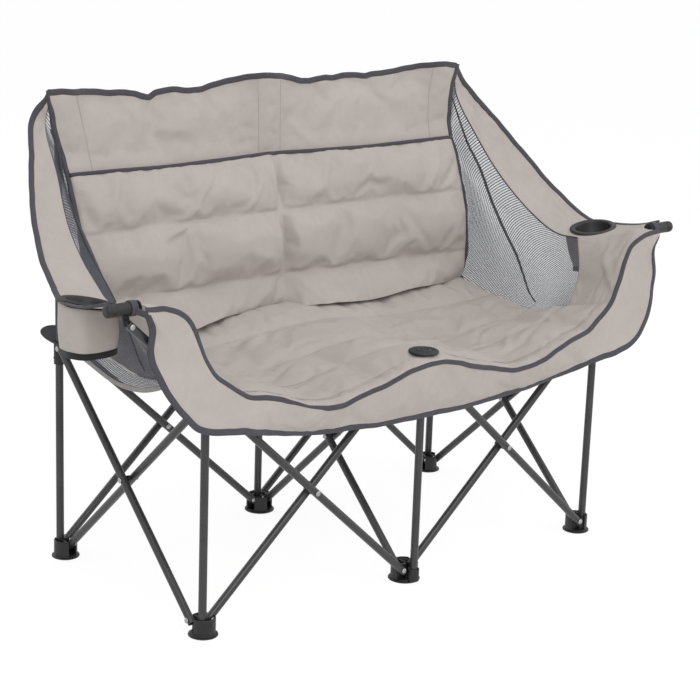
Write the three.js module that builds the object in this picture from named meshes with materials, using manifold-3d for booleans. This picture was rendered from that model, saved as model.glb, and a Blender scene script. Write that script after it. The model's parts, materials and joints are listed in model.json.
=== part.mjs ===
import * as THREE from 'three';
import { mergeVertices } from 'three/addons/utils/BufferGeometryUtils.js';
import Module from 'manifold-3d';

// A two-seat folding camping chair. Six posts stand in two rows of three, crossed tubes join
// neighbouring posts, and the padded fabric hangs on the frame. Millimetres, +Z up, front at -Y.

// Frame: the bays are square, so that every pair of crossed tubes folds at the same rate
const postPitch = 510;
const tubeRadius = 8;
const tubeWall = 1.2;
const tubeSides = 8;
const pinInset = 24;
const footPinHeight = 30;
const hubPinHeight = 453;
const armPinHeight = 632;
const crossingOffset = 11;
const tubeEndMargin = 9;
const rearPostTop = 950;
const frontPostBelowPin = 13;
const frontCentrePostShift = 21;

// Pins and the plates that hold them
const pinRadius = 3;
const pinHeadRadius = 5.5;
const pinHeadThickness = 2.5;
const pinBossRadius = 6;
const pinSides = 6;
const headSides = 8;
const plateThickness = 5;
const spacerRadius = 7;
const spacerThickness = 5;

// Clearances
const seatingGap = 0.3;
const pinClearance = 0.4;
const slidingClearance = 0.4;
const sideGap = 0.5;
const slotClearance = 0.7;
const cutOverrun = 1;

// Feet
const cornerFoot = { flangeRadius: 29, drumRadius: 24, inward: 8 };
const centreFoot = { flangeRadius: 33, drumRadius: 28, inward: 8 };
const flangeHeight = 4;
const drumHeight = 37;
const socketFloor = 4;
const drumSides = 16;

// Hubs
const hubSleeveRadius = 11.2;
const hubSleeveDrop = 26;
const frontSleeveBelowPin = 7;
const rearSleeveAbovePin = 9;
const stemRadius = 6;
const stemLength = 232;
const neckRadius = 8;
const neckAbovePin = 11;
const roundSides = 12;

// Seat button on top of the front centre hub
const buttonRadius = 34;
const buttonThickness = 5;
const buttonDome = 3;
const buttonNeckRadius = 8;

// Arm bracket at the end of each long tube
const gripRadius = 12;
const gripLength = 46;
const gripAbovePin = 29;
const gripBeyondPin = 45;
const gripRounding = 4;
const stopRadius = 13;
const stopThickness = 3;
const stopSpacing = 4;
const stopNeckRadius = 6;

// Cup holders and the pouches under the arms
const cupAcrossShare = 0.56;
const cupDepthShare = -0.357;
const cupRimRadius = 47;
const cupRimThickness = 4;
const cupOuterRadius = 42;
const cupFootRadius = 28;
const cupWall = 2.5;
const cupDepth = 68;
const cupSides = 20;
const armTiltShare = 0.18;
const armBow = 790;
const pouchEdgeInset = 3;
const pouchHalfLength = 70;
const pouchDepthShare = -0.373;
const pouchDepth = 82;
const pouchWall = 3;
const pouchGap = 0.8;
const pouchSides = 20;
const pouchRoundness = 0.6;

// Fabric
const clothThickness = 3;
const bandAbovePosts = 15;
const seatAboveHubPins = 39;
const sideSleeveShare = 0.917;
const padChannelShares = [0.577, 0.712];
const bandThickness = 6;
const sleeveRadius = 12.5;
const padThickness = 4;
const padCrown = 20;
const seatThickness = 2;
const seatCrown = 9;
const seatSag = 20;
const seatChannelCount = 6;
const seatSplitShare = 0.5;
const seamGap = 2.5;
const bandSeamGap = 0.7;
const wavesInApron = 7;
const apronWave = 3;
const foldsInMesh = 3;
const meshFold = 4;
const meshBow = 32;

// Derived places
const rowDepth = postPitch / 2;
const span = postPitch - 2 * pinInset;
const rise = hubPinHeight - footPinHeight;
const crossAngle = Math.atan2(rise, span);
const crossLength = Math.hypot(rise, span);
const armPinAlong = (armPinHeight - footPinHeight) / Math.sin(crossAngle);
const tubeEndReach = Math.hypot(tubeEndMargin, tubeRadius) + slotClearance;
const plateFace = plateThickness / 2;
const headStart = crossingOffset + tubeRadius + sideGap;
const headEnd = headStart + pinHeadThickness;
const postBore = tubeRadius + slidingClearance;
const armPinReach = pinInset + armPinAlong * Math.cos(crossAngle);
const gripOuterReach = armPinReach + gripBeyondPin;
const gripHeight = armPinHeight + gripAbovePin;
const backTop = rearPostTop + bandAbovePosts;
const frontPostTop = hubPinHeight - frontPostBelowPin;
const frontHubSleeveTop = hubPinHeight - frontSleeveBelowPin;
const rearHubSleeveTop = hubPinHeight + rearSleeveAbovePin;
const neckTop = hubPinHeight + neckAbovePin;
const cupDepthPlace = cupDepthShare * rowDepth;
const pouchDepthPlace = pouchDepthShare * rowDepth;
const pouchBottom = armPinHeight - pouchDepth;

// Colours and finishes
const plastic = { color: 0x1c1c1e, roughness: 0.55, metalness: 0 };
const tubeCoat = { color: 0x3c3c3e, roughness: 0.4, metalness: 0.5 };
const rivetMetal = { color: 0x9a9a9c, roughness: 0.35, metalness: 0.9 };
const fabric = { color: 0xb9b1a8, roughness: 0.9, metalness: 0 };
const apronFabric = { color: 0xc6bfb6, roughness: 0.9, metalness: 0 };
const meshFabric = { color: 0x5a5c66, roughness: 0.85, metalness: 0 };

const wasm = await Module();
wasm.setup();

const loveseat = new THREE.Group();

function add(name, geometry, finish, place = new THREE.Vector3(), turn = new THREE.Euler()) {
  const mesh = new THREE.Mesh(geometry, new THREE.MeshStandardMaterial(finish));
  mesh.name = name;
  mesh.position.copy(place);
  mesh.rotation.copy(turn);
  loveseat.add(mesh);
}

// Solids for cutting and joining
function solid(geometry) {
  geometry.deleteAttribute('normal');
  geometry.deleteAttribute('uv');
  const merged = mergeVertices(geometry);
  return new wasm.Manifold(new wasm.Mesh({
    numProp: 3,
    vertProperties: new Float32Array(merged.attributes.position.array),
    triVerts: new Uint32Array(merged.index.array),
  }));
}

function geometryOf(manifold) {
  const mesh = manifold.getMesh();
  const geometry = new THREE.BufferGeometry();
  geometry.setAttribute('position', new THREE.BufferAttribute(mesh.vertProperties, 3));
  geometry.setIndex(new THREE.BufferAttribute(mesh.triVerts, 1));
  return geometry;
}

function joined(pieces) {
  return pieces.reduce((sum, piece) => sum.add(piece));
}

// An upright cylinder between two heights
function upright(radius, low, high, x = 0, y = 0, sides = roundSides) {
  const geometry = new THREE.CylinderGeometry(radius, radius, high - low, sides);
  geometry.rotateX(Math.PI / 2);
  geometry.translate(x, y, (low + high) / 2);
  return solid(geometry);
}

// A cylinder along Y between two places
function crosswise(radius, start, end, x, z, sides = roundSides) {
  const geometry = new THREE.CylinderGeometry(radius, radius, Math.abs(end - start), sides);
  geometry.translate(x, (start + end) / 2, z);
  return solid(geometry);
}

function block(low, high) {
  const size = new THREE.Vector3().subVectors(high, low);
  const geometry = new THREE.BoxGeometry(size.x, size.y, size.z);
  geometry.translate((low.x + high.x) / 2, (low.y + high.y) / 2, (low.z + high.z) / 2);
  return solid(geometry);
}

function turned(manifold, heading) {
  return manifold.rotate([0, 0, THREE.MathUtils.radToDeg(heading)]);
}

// The six corners of the frame, and the bays between them
const corners = {
  rear_left: { column: -1, row: 1 },
  rear_centre: { column: 0, row: 1 },
  rear_right: { column: 1, row: 1 },
  front_left: { column: -1, row: -1 },
  front_centre: { column: 0, row: -1 },
  front_right: { column: 1, row: -1 },
};
const bays = [
  { name: 'middle', ends: ['rear_centre', 'front_centre'] },
  { name: 'rear_left', ends: ['rear_centre', 'rear_left'] },
  { name: 'rear_right', ends: ['rear_centre', 'rear_right'] },
  { name: 'front_left', ends: ['front_centre', 'front_left'] },
  { name: 'front_right', ends: ['front_centre', 'front_right'] },
  { name: 'side_left', ends: ['rear_left', 'front_left'] },
  { name: 'side_right', ends: ['rear_right', 'front_right'] },
];

function groundPlace(corner) {
  const { column, row } = corners[corner];
  return new THREE.Vector3(column * postPitch, row * rowDepth, 0);
}

function headingFrom(start, end) {
  const way = groundPlace(end).sub(groundPlace(start));
  return Math.atan2(way.y, way.x);
}

function neighbours(corner) {
  const joiningBays = bays.filter((bay) => bay.ends.includes(corner));
  return joiningBays.map((bay) => bay.ends.find((end) => end !== corner));
}

// The front centre post stands ahead of the plane of the front tubes
function postPlace(corner) {
  return new THREE.Vector3(0, corner === 'front_centre' ? -frontCentrePostShift : 0, 0);
}

// Tubes
function tubeProfile(length, start) {
  const outer = tubeRadius;
  const inner = tubeRadius - tubeWall;
  return [[inner, start], [outer, start], [outer, length], [inner, length], [inner, start]]
    .map(([radius, along]) => new THREE.Vector2(radius, along));
}

function post(low, high) {
  const geometry = new THREE.LatheGeometry(tubeProfile(high, low), tubeSides);
  geometry.rotateX(Math.PI / 2);
  return geometryOf(solid(geometry));
}

// A crossed tube lies along X from its lower pin at the origin, with a hole at each pin
function crossedTube(pinPlaces) {
  const end = pinPlaces[pinPlaces.length - 1] + tubeEndMargin;
  const geometry = new THREE.LatheGeometry(tubeProfile(end, -tubeEndMargin), tubeSides);
  geometry.rotateZ(-Math.PI / 2);
  const reach = tubeRadius + cutOverrun;
  const holeRadius = (pinRadius + pinClearance) / Math.cos(Math.PI / pinSides);
  const holes = pinPlaces.map((along) => crosswise(holeRadius, -reach, reach, along, 0, pinSides));
  return geometryOf(solid(geometry).subtract(joined(holes)));
}

// A pin from the plate in the middle of the bay, out through the tube on one side, to its head
function pinThroughTube(side, height, along = pinInset) {
  const shaft = crosswise(pinRadius, 0, side * headEnd, along, height, pinSides);
  const head = crosswise(pinHeadRadius, side * headStart, side * headEnd, along, height, headSides);
  return shaft.add(head);
}

function plate(low, high) {
  return block(
    new THREE.Vector3(0, -plateFace, low),
    new THREE.Vector3(pinInset + pinBossRadius, plateFace, high),
  );
}

// Foot: a flange and a drum with a slot for each tube that starts here, and a socket for the post
function foot(corner) {
  const { column, row } = corners[corner];
  const sizes = column === 0 ? centreFoot : cornerFoot;
  const x = -column * sizes.inward;
  const y = -row * sizes.inward;
  const socket = postPlace(corner);
  const drum = upright(sizes.drumRadius, 0, drumHeight, x, y, drumSides);
  const base = upright(sizes.flangeRadius, 0, flangeHeight, x, y, drumSides);
  const slots = [];
  const pins = [];
  const plates = [];
  for (const other of neighbours(corner)) {
    const heading = headingFrom(corner, other);
    const slot = block(
      new THREE.Vector3(pinInset - tubeEndReach, plateFace, footPinHeight - tubeEndReach),
      new THREE.Vector3(2 * sizes.flangeRadius, headStart, drumHeight + cutOverrun),
    );
    slots.push(turned(slot, heading));
    plates.push(turned(plate(flangeHeight, drumHeight), heading));
    pins.push(turned(pinThroughTube(1, footPinHeight), heading));
  }
  const socketBore = upright(postBore, socketFloor, drumHeight + cutOverrun, socket.x, socket.y);
  const body = joined([drum, base, ...plates]).subtract(joined(slots)).subtract(socketBore);
  return geometryOf(body.add(joined(pins)));
}

// Hub: a sleeve with a plate and a pin for each tube that ends here
function hub(corner) {
  const { row } = corners[corner];
  const isRear = row > 0;
  const seat = postPlace(corner);
  const sleeveTop = isRear ? rearHubSleeveTop : frontHubSleeveTop;
  const sleeveBottom = frontPostTop - hubSleeveDrop;
  const plateLow = hubPinHeight - pinBossRadius;
  const plateHigh = hubPinHeight + pinBossRadius;
  const parts = [upright(hubSleeveRadius, sleeveBottom, sleeveTop, seat.x, seat.y)];
  if (corner === 'front_centre') {
    const rib = new THREE.Vector3(plateFace, 0, plateHigh);
    parts.push(block(new THREE.Vector3(-plateFace, seat.y, plateLow), rib));
    parts.push(upright(neckRadius, sleeveTop - cutOverrun, neckTop, seat.x, seat.y));
  }
  if (!isRear) {
    parts.push(upright(neckRadius, sleeveTop - cutOverrun, plateHigh, seat.x, seat.y));
  }
  for (const other of neighbours(corner)) {
    const heading = headingFrom(corner, other);
    parts.push(turned(plate(plateLow, plateHigh), heading));
    parts.push(turned(pinThroughTube(-1, hubPinHeight), heading));
  }
  const boreTop = isRear ? sleeveTop + cutOverrun : frontPostTop + seatingGap;
  const bore = upright(postBore, sleeveBottom - cutOverrun, boreTop, seat.x, seat.y);
  const body = joined(parts).subtract(bore);
  if (isRear) {
    return geometryOf(body);
  }
  const stemTop = sleeveTop - cutOverrun;
  return geometryOf(body.add(upright(stemRadius, frontPostTop - stemLength, stemTop, seat.x, seat.y)));
}

// Crossing pin: a spacer between the two tubes, and a shaft with a head on each side
function crossingPin() {
  const shaft = crosswise(pinRadius, -headEnd, headEnd, 0, 0, pinSides);
  const spacer = crosswise(spacerRadius, -spacerThickness / 2, spacerThickness / 2, 0, 0, headSides);
  const heads = [-1, 1].map((side) =>
    crosswise(pinHeadRadius, side * headStart, side * headEnd, 0, 0, headSides));
  return geometryOf(joined([shaft, spacer, ...heads]));
}

// Arm bracket: a plate pinned to the end of the long tube, carrying a grip and a round stop
function armBracket() {
  const gripStart = gripOuterReach - gripLength;
  const plateShape = new THREE.Shape();
  plateShape.moveTo(armPinReach - pinBossRadius, armPinHeight);
  plateShape.lineTo(armPinReach, armPinHeight - pinBossRadius);
  plateShape.lineTo(armPinReach + pinBossRadius, armPinHeight - pinBossRadius);
  plateShape.lineTo(gripStart + gripRadius, gripHeight - gripRadius / 2);
  plateShape.lineTo(gripStart + gripRadius / 2, gripHeight);
  const web = new THREE.ExtrudeGeometry(plateShape, { depth: plateThickness, bevelEnabled: false });
  web.rotateX(Math.PI / 2);
  web.translate(0, plateFace, 0);
  const profile = [
    [0, gripStart - stopSpacing - stopThickness],
    [stopRadius, gripStart - stopSpacing - stopThickness],
    [stopRadius, gripStart - stopSpacing],
    [stopNeckRadius, gripStart - stopSpacing],
    [stopNeckRadius, gripStart],
    [gripRadius, gripStart],
    [gripRadius, gripOuterReach - gripRounding],
    [gripRadius - gripRounding, gripOuterReach],
    [0, gripOuterReach],
  ].map(([radius, along]) => new THREE.Vector2(radius, along));
  const grip = new THREE.LatheGeometry(profile, roundSides);
  grip.rotateZ(-Math.PI / 2);
  grip.translate(0, 0, gripHeight);
  return geometryOf(joined([
    solid(web),
    solid(grip),
    pinThroughTube(1, armPinHeight, armPinReach),
  ]));
}

// Frame
for (const corner of Object.keys(corners)) {
  const place = groundPlace(corner);
  const isRear = corners[corner].row > 0;
  add(`foot_${corner}`, foot(corner), plastic, place);
  const postHigh = isRear ? rearPostTop : frontPostTop;
  const postFoot = place.clone().add(postPlace(corner));
  add(`post_${corner}`, post(socketFloor + seatingGap, postHigh), tubeCoat, postFoot);
  add(`hub_${corner}`, hub(corner), plastic, place);
}

for (const bay of bays) {
  const [near, far] = bay.ends;
  for (const [start, end] of [[near, far], [far, near]]) {
    const heading = headingFrom(start, end);
    const isArmTube = start === 'front_centre' && bay.name.startsWith('front');
    const pins = [0, crossLength / 2, crossLength];
    const name = isArmTube ? `arm_tube_${bay.name.slice('front_'.length)}` : `tube_${start}_to_${end}`;
    const lowerPin = groundPlace(start)
      .add(new THREE.Vector3(pinInset * Math.cos(heading), pinInset * Math.sin(heading), footPinHeight))
      .add(new THREE.Vector3(-crossingOffset * Math.sin(heading), crossingOffset * Math.cos(heading), 0));
    const turn = new THREE.Euler(0, -crossAngle, heading, 'ZYX');
    add(name, crossedTube(isArmTube ? [...pins, armPinAlong] : pins), tubeCoat, lowerPin, turn);
  }
  const heading = headingFrom(near, far);
  const crossing = groundPlace(near).add(groundPlace(far)).multiplyScalar(1 / 2);
  crossing.z = (footPinHeight + hubPinHeight) / 2;
  add(`crossing_pin_${bay.name}`, crossingPin(), rivetMetal, crossing, new THREE.Euler(0, 0, heading));
}

// Fabric surfaces are spanned between four curves. Their points are shares of the post pitch, the
// row depth and the height of the back. The posts, hubs, arm pins and grips have shares of their own,
// so that the fabric follows them.
const reachSteps = [[0, 0], [1, postPitch], [1.4245, gripOuterReach]];
const heightSteps = [
  [0, 0],
  [0.4694, hubPinHeight],
  [0.51, hubPinHeight + seatAboveHubPins],
  [0.6549, armPinHeight],
  [0.688, gripHeight + clothThickness],
  [1, backTop],
];

function stepped(steps, share) {
  const next = steps.findIndex(([stepShare], index) =>
    index > 0 && (share <= stepShare || index === steps.length - 1));
  const [[lowShare, low], [highShare, high]] = [steps[next - 1], steps[next]];
  return low + ((high - low) * (share - lowShare)) / (highShare - lowShare);
}

const heightOf = (share) => stepped(heightSteps, share);
const reachOf = (share) => Math.sign(share) * stepped(reachSteps, Math.abs(share));

function places(shares) {
  return shares.map(([x, y, z]) => new THREE.Vector3(reachOf(x), y * rowDepth, heightOf(z)));
}

function curveThrough(points, side = 1) {
  return new THREE.CatmullRomCurve3(points.map(({ x, y, z }) => new THREE.Vector3(side * x, y, z)));
}

function curve(shares, side = 1) {
  return curveThrough(places(shares), side);
}

function mirrored(shares) {
  const other = shares.slice(1).map(([x, y, z]) => [-x, y, z]);
  return [...other.reverse(), ...shares];
}

// A surface between a low and a high curve, and a left and a right one that join their ends
function patch(low, high, left, right) {
  return (u, v) => {
    const across = low.getPointAt(u).multiplyScalar(1 - v).add(high.getPointAt(u).multiplyScalar(v));
    const along = left.getPointAt(v).multiplyScalar(1 - u).add(right.getPointAt(v).multiplyScalar(u));
    const cornersLow = low.getPointAt(0).multiplyScalar(1 - u).add(low.getPointAt(1).multiplyScalar(u));
    const cornersHigh = high.getPointAt(0).multiplyScalar(1 - u).add(high.getPointAt(1).multiplyScalar(u));
    const bilinear = cornersLow.multiplyScalar(1 - v).add(cornersHigh.multiplyScalar(v));
    return across.add(along).sub(bilinear);
  };
}

function normalAt(surface, u, v) {
  const step = 1 / 500;
  const low = Math.max(0, u - step);
  const high = Math.min(1, u + step);
  const near = Math.max(0, v - step);
  const far = Math.min(1, v + step);
  const alongU = surface(high, v).sub(surface(low, v));
  const alongV = surface(u, far).sub(surface(u, near));
  return alongU.cross(alongV).normalize();
}

function signedVolume(points, triangles) {
  let sum = 0;
  for (let corner = 0; corner < triangles.length; corner += 3) {
    const [a, b, c] = [0, 1, 2].map((step) => points[triangles[corner + step]]);
    sum += a.dot(new THREE.Vector3().crossVectors(b, c));
  }
  return sum;
}

function closedGeometry(points, triangles) {
  const facing = signedVolume(points, triangles) > 0 ? triangles : triangles.reverse();
  const geometry = new THREE.BufferGeometry().setFromPoints(points);
  geometry.setIndex(facing);
  return geometry;
}

// A cloth solid over a stretch of a surface, with its thickness above and below as functions
function cloth(surface, stepsU, stepsV, above, below, trim = {}) {
  const { u0 = 0, u1 = 0, v0 = 0, v1 = 0 } = trim;
  const points = [];
  for (const face of [1, -1]) {
    for (let i = 0; i <= stepsU; i += 1) {
      for (let j = 0; j <= stepsV; j += 1) {
        const u = u0 + (1 - u0 - u1) * (i / stepsU);
        const v = v0 + (1 - v0 - v1) * (j / stepsV);
        const offset = face > 0 ? above(u, v) : -below(u, v);
        points.push(surface(u, v).addScaledVector(normalAt(surface, u, v), offset));
      }
    }
  }
  const layer = (stepsU + 1) * (stepsV + 1);
  const at = (face, i, j) => face * layer + i * (stepsV + 1) + j;
  const triangles = [];
  const quad = (a, b, c, d) => triangles.push(a, b, c, a, c, d);
  for (let i = 0; i < stepsU; i += 1) {
    for (let j = 0; j < stepsV; j += 1) {
      quad(at(0, i, j), at(0, i + 1, j), at(0, i + 1, j + 1), at(0, i, j + 1));
      quad(at(1, i, j), at(1, i, j + 1), at(1, i + 1, j + 1), at(1, i + 1, j));
    }
    quad(at(0, i, 0), at(1, i, 0), at(1, i + 1, 0), at(0, i + 1, 0));
    quad(at(0, i, stepsV), at(0, i + 1, stepsV), at(1, i + 1, stepsV), at(1, i, stepsV));
  }
  for (let j = 0; j < stepsV; j += 1) {
    quad(at(0, 0, j), at(0, 0, j + 1), at(1, 0, j + 1), at(1, 0, j));
    quad(at(0, stepsU, j), at(1, stepsU, j), at(1, stepsU, j + 1), at(0, stepsU, j + 1));
  }
  return closedGeometry(points, triangles);
}

const even = (thickness) => () => thickness / 2;

// Curves of the seams, right half, from the centre or the top outward
const topSeamShares = [
  [0, -1.224, 0.493], [0.118, -1.216, 0.484], [0.235, -1.204, 0.465], [0.343, -1.196, 0.452],
  [0.461, -1.192, 0.439], [0.59, -1.196, 0.448], [0.68, -1.2, 0.466], [0.776, -1.192, 0.484],
  [0.873, -1.165, 0.493], [0.943, -1.149, 0.517], [1.004, -1.141, 0.542],
];
const gussetSeamShares = [
  [1.004, -1.141, 0.542], [1.043, -1.129, 0.572], [1.069, -1.122, 0.604], [1.092, -1.118, 0.637],
  [1.133, -1.114, 0.666], [1.216, -1.112, 0.684], [1.284, -1.108, 0.687], [1.33, -1.108, 0.688],
];
const gussetMidShare = [1.308, -1.04, 0.687];
const apronHemShares = [
  [0, -1.161, 0.374], [0.216, -1.145, 0.373], [0.392, -1.133, 0.378], [0.555, -1.129, 0.384],
  [0.659, -1.145, 0.394], [0.788, -1.188, 0.409], [0.916, -1.247, 0.427], [1.022, -1.259, 0.436],
  [1.116, -1.243, 0.45], [1.182, -1.227, 0.485], [1.229, -1.196, 0.522], [1.261, -1.145, 0.561],
  [1.286, -1.118, 0.599], [1.3, -1.108, 0.639], [1.325, -1.108, 0.672],
];
const seatSideShares = [
  [1.004, -1.141, 0.542], [1.002, -0.631, 0.505], [1, -0.208, 0.478], [1, 0.153, 0.482],
  [0.99, 0.67, 0.503],
];
const seatRearShares = [[0, 0.784, 0.498], [0.588, 0.753, 0.498], [0.99, 0.67, 0.503]];
const backSideShares = [
  [0.99, 0.675, 0.509], [0.99, 0.624, 0.561], [0.99, 0.627, 0.615], [0.99, 0.651, 0.667],
  [0.99, 0.702, 0.718], [0.99, 0.776, 0.769], [0.99, 0.847, 0.813], [0.99, 0.885, 0.832],
];
const backFootShares = [[0, 0.784, 0.51], [0.588, 0.757, 0.51], [0.99, 0.675, 0.51]];
const padTopShares = [[0, 0.94, 0.832], [0.588, 0.92, 0.832], [0.99, 0.885, 0.832]];
const bandSideShares = [
  [0.99, 0.885, 0.832], [0.994, 0.933, 0.863], [1.004, 1, 0.93], [1.024, 1.059, 0.974],
  [1.035, 1.075, 0.997],
];
const bandTopShares = [
  [0, 1.07, 1], [0.2, 1.065, 0.994], [0.36, 1.06, 0.988], [0.45, 1.065, 0.996],
  [0.75, 1.07, 0.995], [1.035, 1.075, 0.997],
];
const meshBackShares = [
  [1, 0.67, 0.503], [1, 0.627, 0.615], [1, 0.702, 0.718], [1.002, 0.85, 0.813],
  [1.012, 0.99, 0.91], [1.043, 1.06, 0.97],
];
const meshFrontShares = [[1.002, -0.631, 0.505], [1.1, -0.51, 0.57], [1.171, -0.412, 0.641]];
const wingOuterShares = [
  [1.047, 1.075, 0.997], [1.106, 0.976, 0.958], [1.19, 0.737, 0.879], [1.263, 0.478, 0.801],
  [1.318, 0.192, 0.728],
];
const wingInnerShares = [
  [1.043, 1.06, 0.97], [1.053, 0.969, 0.929], [1.076, 0.725, 0.838], [1.11, 0.451, 0.751],
  [1.135, 0.082, 0.678],
];
// Plan of the arm's two edges, from the wing to the bracket
const planPlaces = (shares) =>
  shares.map(([x, y]) => new THREE.Vector2(reachOf(x), y * rowDepth));
const armOuterPlan = planPlaces([[1.373, -0.188], [1.401, -0.431], [1.412, -0.706], [1.42, -0.948]]);
const armInnerPlan = planPlaces([[1.157, -0.176], [1.171, -0.412], [1.231, -0.706], [1.312, -0.948]]);

// How far out an edge of the arm is at a place along the arm
function edgeReach(plan, y) {
  const next = plan.findIndex((place, index) =>
    index > 0 && (place.y <= y || index === plan.length - 1));
  const [start, end] = [plan[next - 1], plan[next]];
  return start.x + ((end.x - start.x) * (y - start.y)) / (end.y - start.y);
}

const cupReach = THREE.MathUtils.lerp(
  edgeReach(armInnerPlan, cupDepthPlace), edgeReach(armOuterPlan, cupDepthPlace), cupAcrossShare,
);
const cupHeight = armPinHeight;

// The arm rises outward and dips gently along its length at the cup holder
function armHeight(x, y) {
  const along = y - cupDepthPlace;
  return cupHeight + armTiltShare * (x - cupReach) + (along * along) / armBow;
}

const armPlaces = (plan) => plan.map(({ x, y }) => new THREE.Vector3(x, y, armHeight(x, y)));
const armOuterPlaces = armPlaces(armOuterPlan);
const armInnerPlaces = armPlaces(armInnerPlan);

// Seat: one hammock between the side edges, padded in channels that run across it
const seatFront = curve(mirrored(topSeamShares));
const seatRear = curve(mirrored(seatRearShares));
const seatPatch = patch(seatFront, seatRear, curve(seatSideShares, -1), curve(seatSideShares));

function seatSurface(u, v) {
  const middle = 2 * u - 1;
  const front = seatFront.getPointAt(u).multiplyScalar(1 - v);
  const ruled = front.add(seatRear.getPointAt(u).multiplyScalar(v));
  const hung = seatPatch(u, v);
  const edgeShare = middle * middle;
  ruled.z += (hung.z - ruled.z) * edgeShare;
  ruled.z -= seatSag * Math.sin(Math.PI * v) ** 2 * (1 - edgeShare);
  return ruled;
}

function seatPadding(u, v) {
  const channel = Math.abs(Math.sin(Math.PI * v * seatChannelCount));
  const sides = Math.sin(Math.PI * u) ** (1 / 2);
  return seatThickness + seatCrown * channel ** (1 / 2) * sides;
}

const seatMargin = seamGap / postPitch;
const splitHalf = seatingGap / postPitch;
const seatSteps = { across: 16, along: 9 };
const frontSeatTrim = { u0: seatMargin, u1: seatMargin, v0: seatMargin, v1: 1 - seatSplitShare + splitHalf };
const rearSeatTrim = { u0: seatMargin, u1: seatMargin, v0: seatSplitShare + splitHalf };
const buttonPlace = groundPlace('front_centre').add(postPlace('front_centre'));
const seatAtButton = seatSurface(1 / 2, (buttonPlace.y - seatFront.getPointAt(1 / 2).y)
  / (seatRear.getPointAt(1 / 2).y - seatFront.getPointAt(1 / 2).y));
const buttonSeat = seatAtButton.z + seatThickness + seatCrown + seatingGap;
const frontSeat = solid(cloth(
  seatSurface, seatSteps.across, seatSteps.along, seatPadding, even(2 * seatThickness), frontSeatTrim,
));
const buttonHole = upright(
  buttonNeckRadius + seatingGap, neckTop, buttonSeat + cutOverrun, buttonPlace.x, buttonPlace.y,
);
add('seat_front', geometryOf(frontSeat.subtract(buttonHole)), fabric);
add('seat_rear', cloth(
  seatSurface, seatSteps.across, seatSteps.along, seatPadding, even(2 * seatThickness), rearSeatTrim,
), fabric);

function seatButton() {
  const profile = [
    [0, neckTop + seatingGap],
    [buttonNeckRadius, neckTop + seatingGap],
    [buttonNeckRadius, buttonSeat],
    [buttonRadius, buttonSeat],
    [buttonRadius, buttonSeat + buttonThickness],
    [buttonNeckRadius, buttonSeat + buttonThickness + buttonDome],
    [0, buttonSeat + buttonThickness + buttonDome],
  ].map(([radius, height]) => new THREE.Vector2(radius, height));
  const geometry = new THREE.LatheGeometry(profile, drumSides);
  geometry.rotateX(Math.PI / 2);
  return geometryOf(solid(geometry));
}

add('seat_button', seatButton(), plastic, buttonPlace);

// Back: a padded panel in front of the posts, and a band above it with sleeves for the posts
const backPatch = patch(
  curve(mirrored(backFootShares)),
  curve(mirrored(padTopShares)),
  curve(backSideShares, -1),
  curve(backSideShares),
);
const padLow = heightOf(backFootShares[0][2]);
const padTop = heightOf(padTopShares[0][2]);

function backPadding(u, v) {
  const height = padLow + (padTop - padLow) * v;
  const edges = [padLow, ...padChannelShares.map(heightOf), padTop];
  const index = edges.findLastIndex((edge, place) => edge <= height && place < edges.length - 1);
  const share = (height - edges[index]) / (edges[index + 1] - edges[index]);
  const crown = Math.sin(Math.PI * share) ** (1 / 2);
  const sides = Math.sin(Math.PI * u) ** (1 / 3);
  return padThickness / 2 + padCrown * (Number.isFinite(crown) ? crown : 0) * sides;
}

const backSteps = { across: 16, along: 15 };
const flipped = (surface) => (u, v) => surface(1 - u, v);
add('back_pad', cloth(
  flipped(backPatch), backSteps.across, backSteps.along, even(padThickness), backPadding,
), fabric);

const bandPatch = patch(
  curve(mirrored(padTopShares)),
  curve(mirrored(bandTopShares)),
  curve(bandSideShares, -1),
  curve(bandSideShares),
);

function backBand() {
  const half = even(bandThickness);
  const sheet = solid(cloth(bandPatch, 16, 4, half, half, { v0: bandSeamGap / (backTop - padTop) }));
  const sleeveTop = rearPostTop + seatingGap + clothThickness;
  const low = padTop + bandSeamGap;
  const sleeves = [];
  const bores = [];
  for (const column of [-1, 0, 1]) {
    const x = column * postPitch;
    const sleeveLow = column === 0 ? low : heightOf(sideSleeveShare);
    sleeves.push(upright(sleeveRadius, sleeveLow, sleeveTop, x, rowDepth));
    bores.push(upright(postBore, low - cutOverrun, rearPostTop + seatingGap, x, rowDepth));
  }
  return geometryOf(joined([sheet, ...sleeves]).subtract(joined(bores)));
}

add('back_band', backBand(), fabric);

// Apron: hangs in front of the seat between the top seam and the hem
const hem = curve(mirrored(apronHemShares));
const apronTop = curve(mirrored([...topSeamShares, ...gussetSeamShares.slice(1)]));

function line(start, end) {
  return new THREE.LineCurve3(start, end);
}

function apronSurface(u, v) {
  const hung = patch(
    hem, apronTop,
    line(hem.getPointAt(0), apronTop.getPointAt(0)),
    line(hem.getPointAt(1), apronTop.getPointAt(1)),
  )(u, v);
  hung.y -= apronWave * Math.sin(Math.PI * v) * (1 + Math.cos(2 * Math.PI * wavesInApron * u));
  return hung;
}

const apronSteps = { across: 42, along: 4 };
add('apron', cloth(
  apronSurface, apronSteps.across, apronSteps.along, even(clothThickness), even(clothThickness),
), apronFabric);

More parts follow.
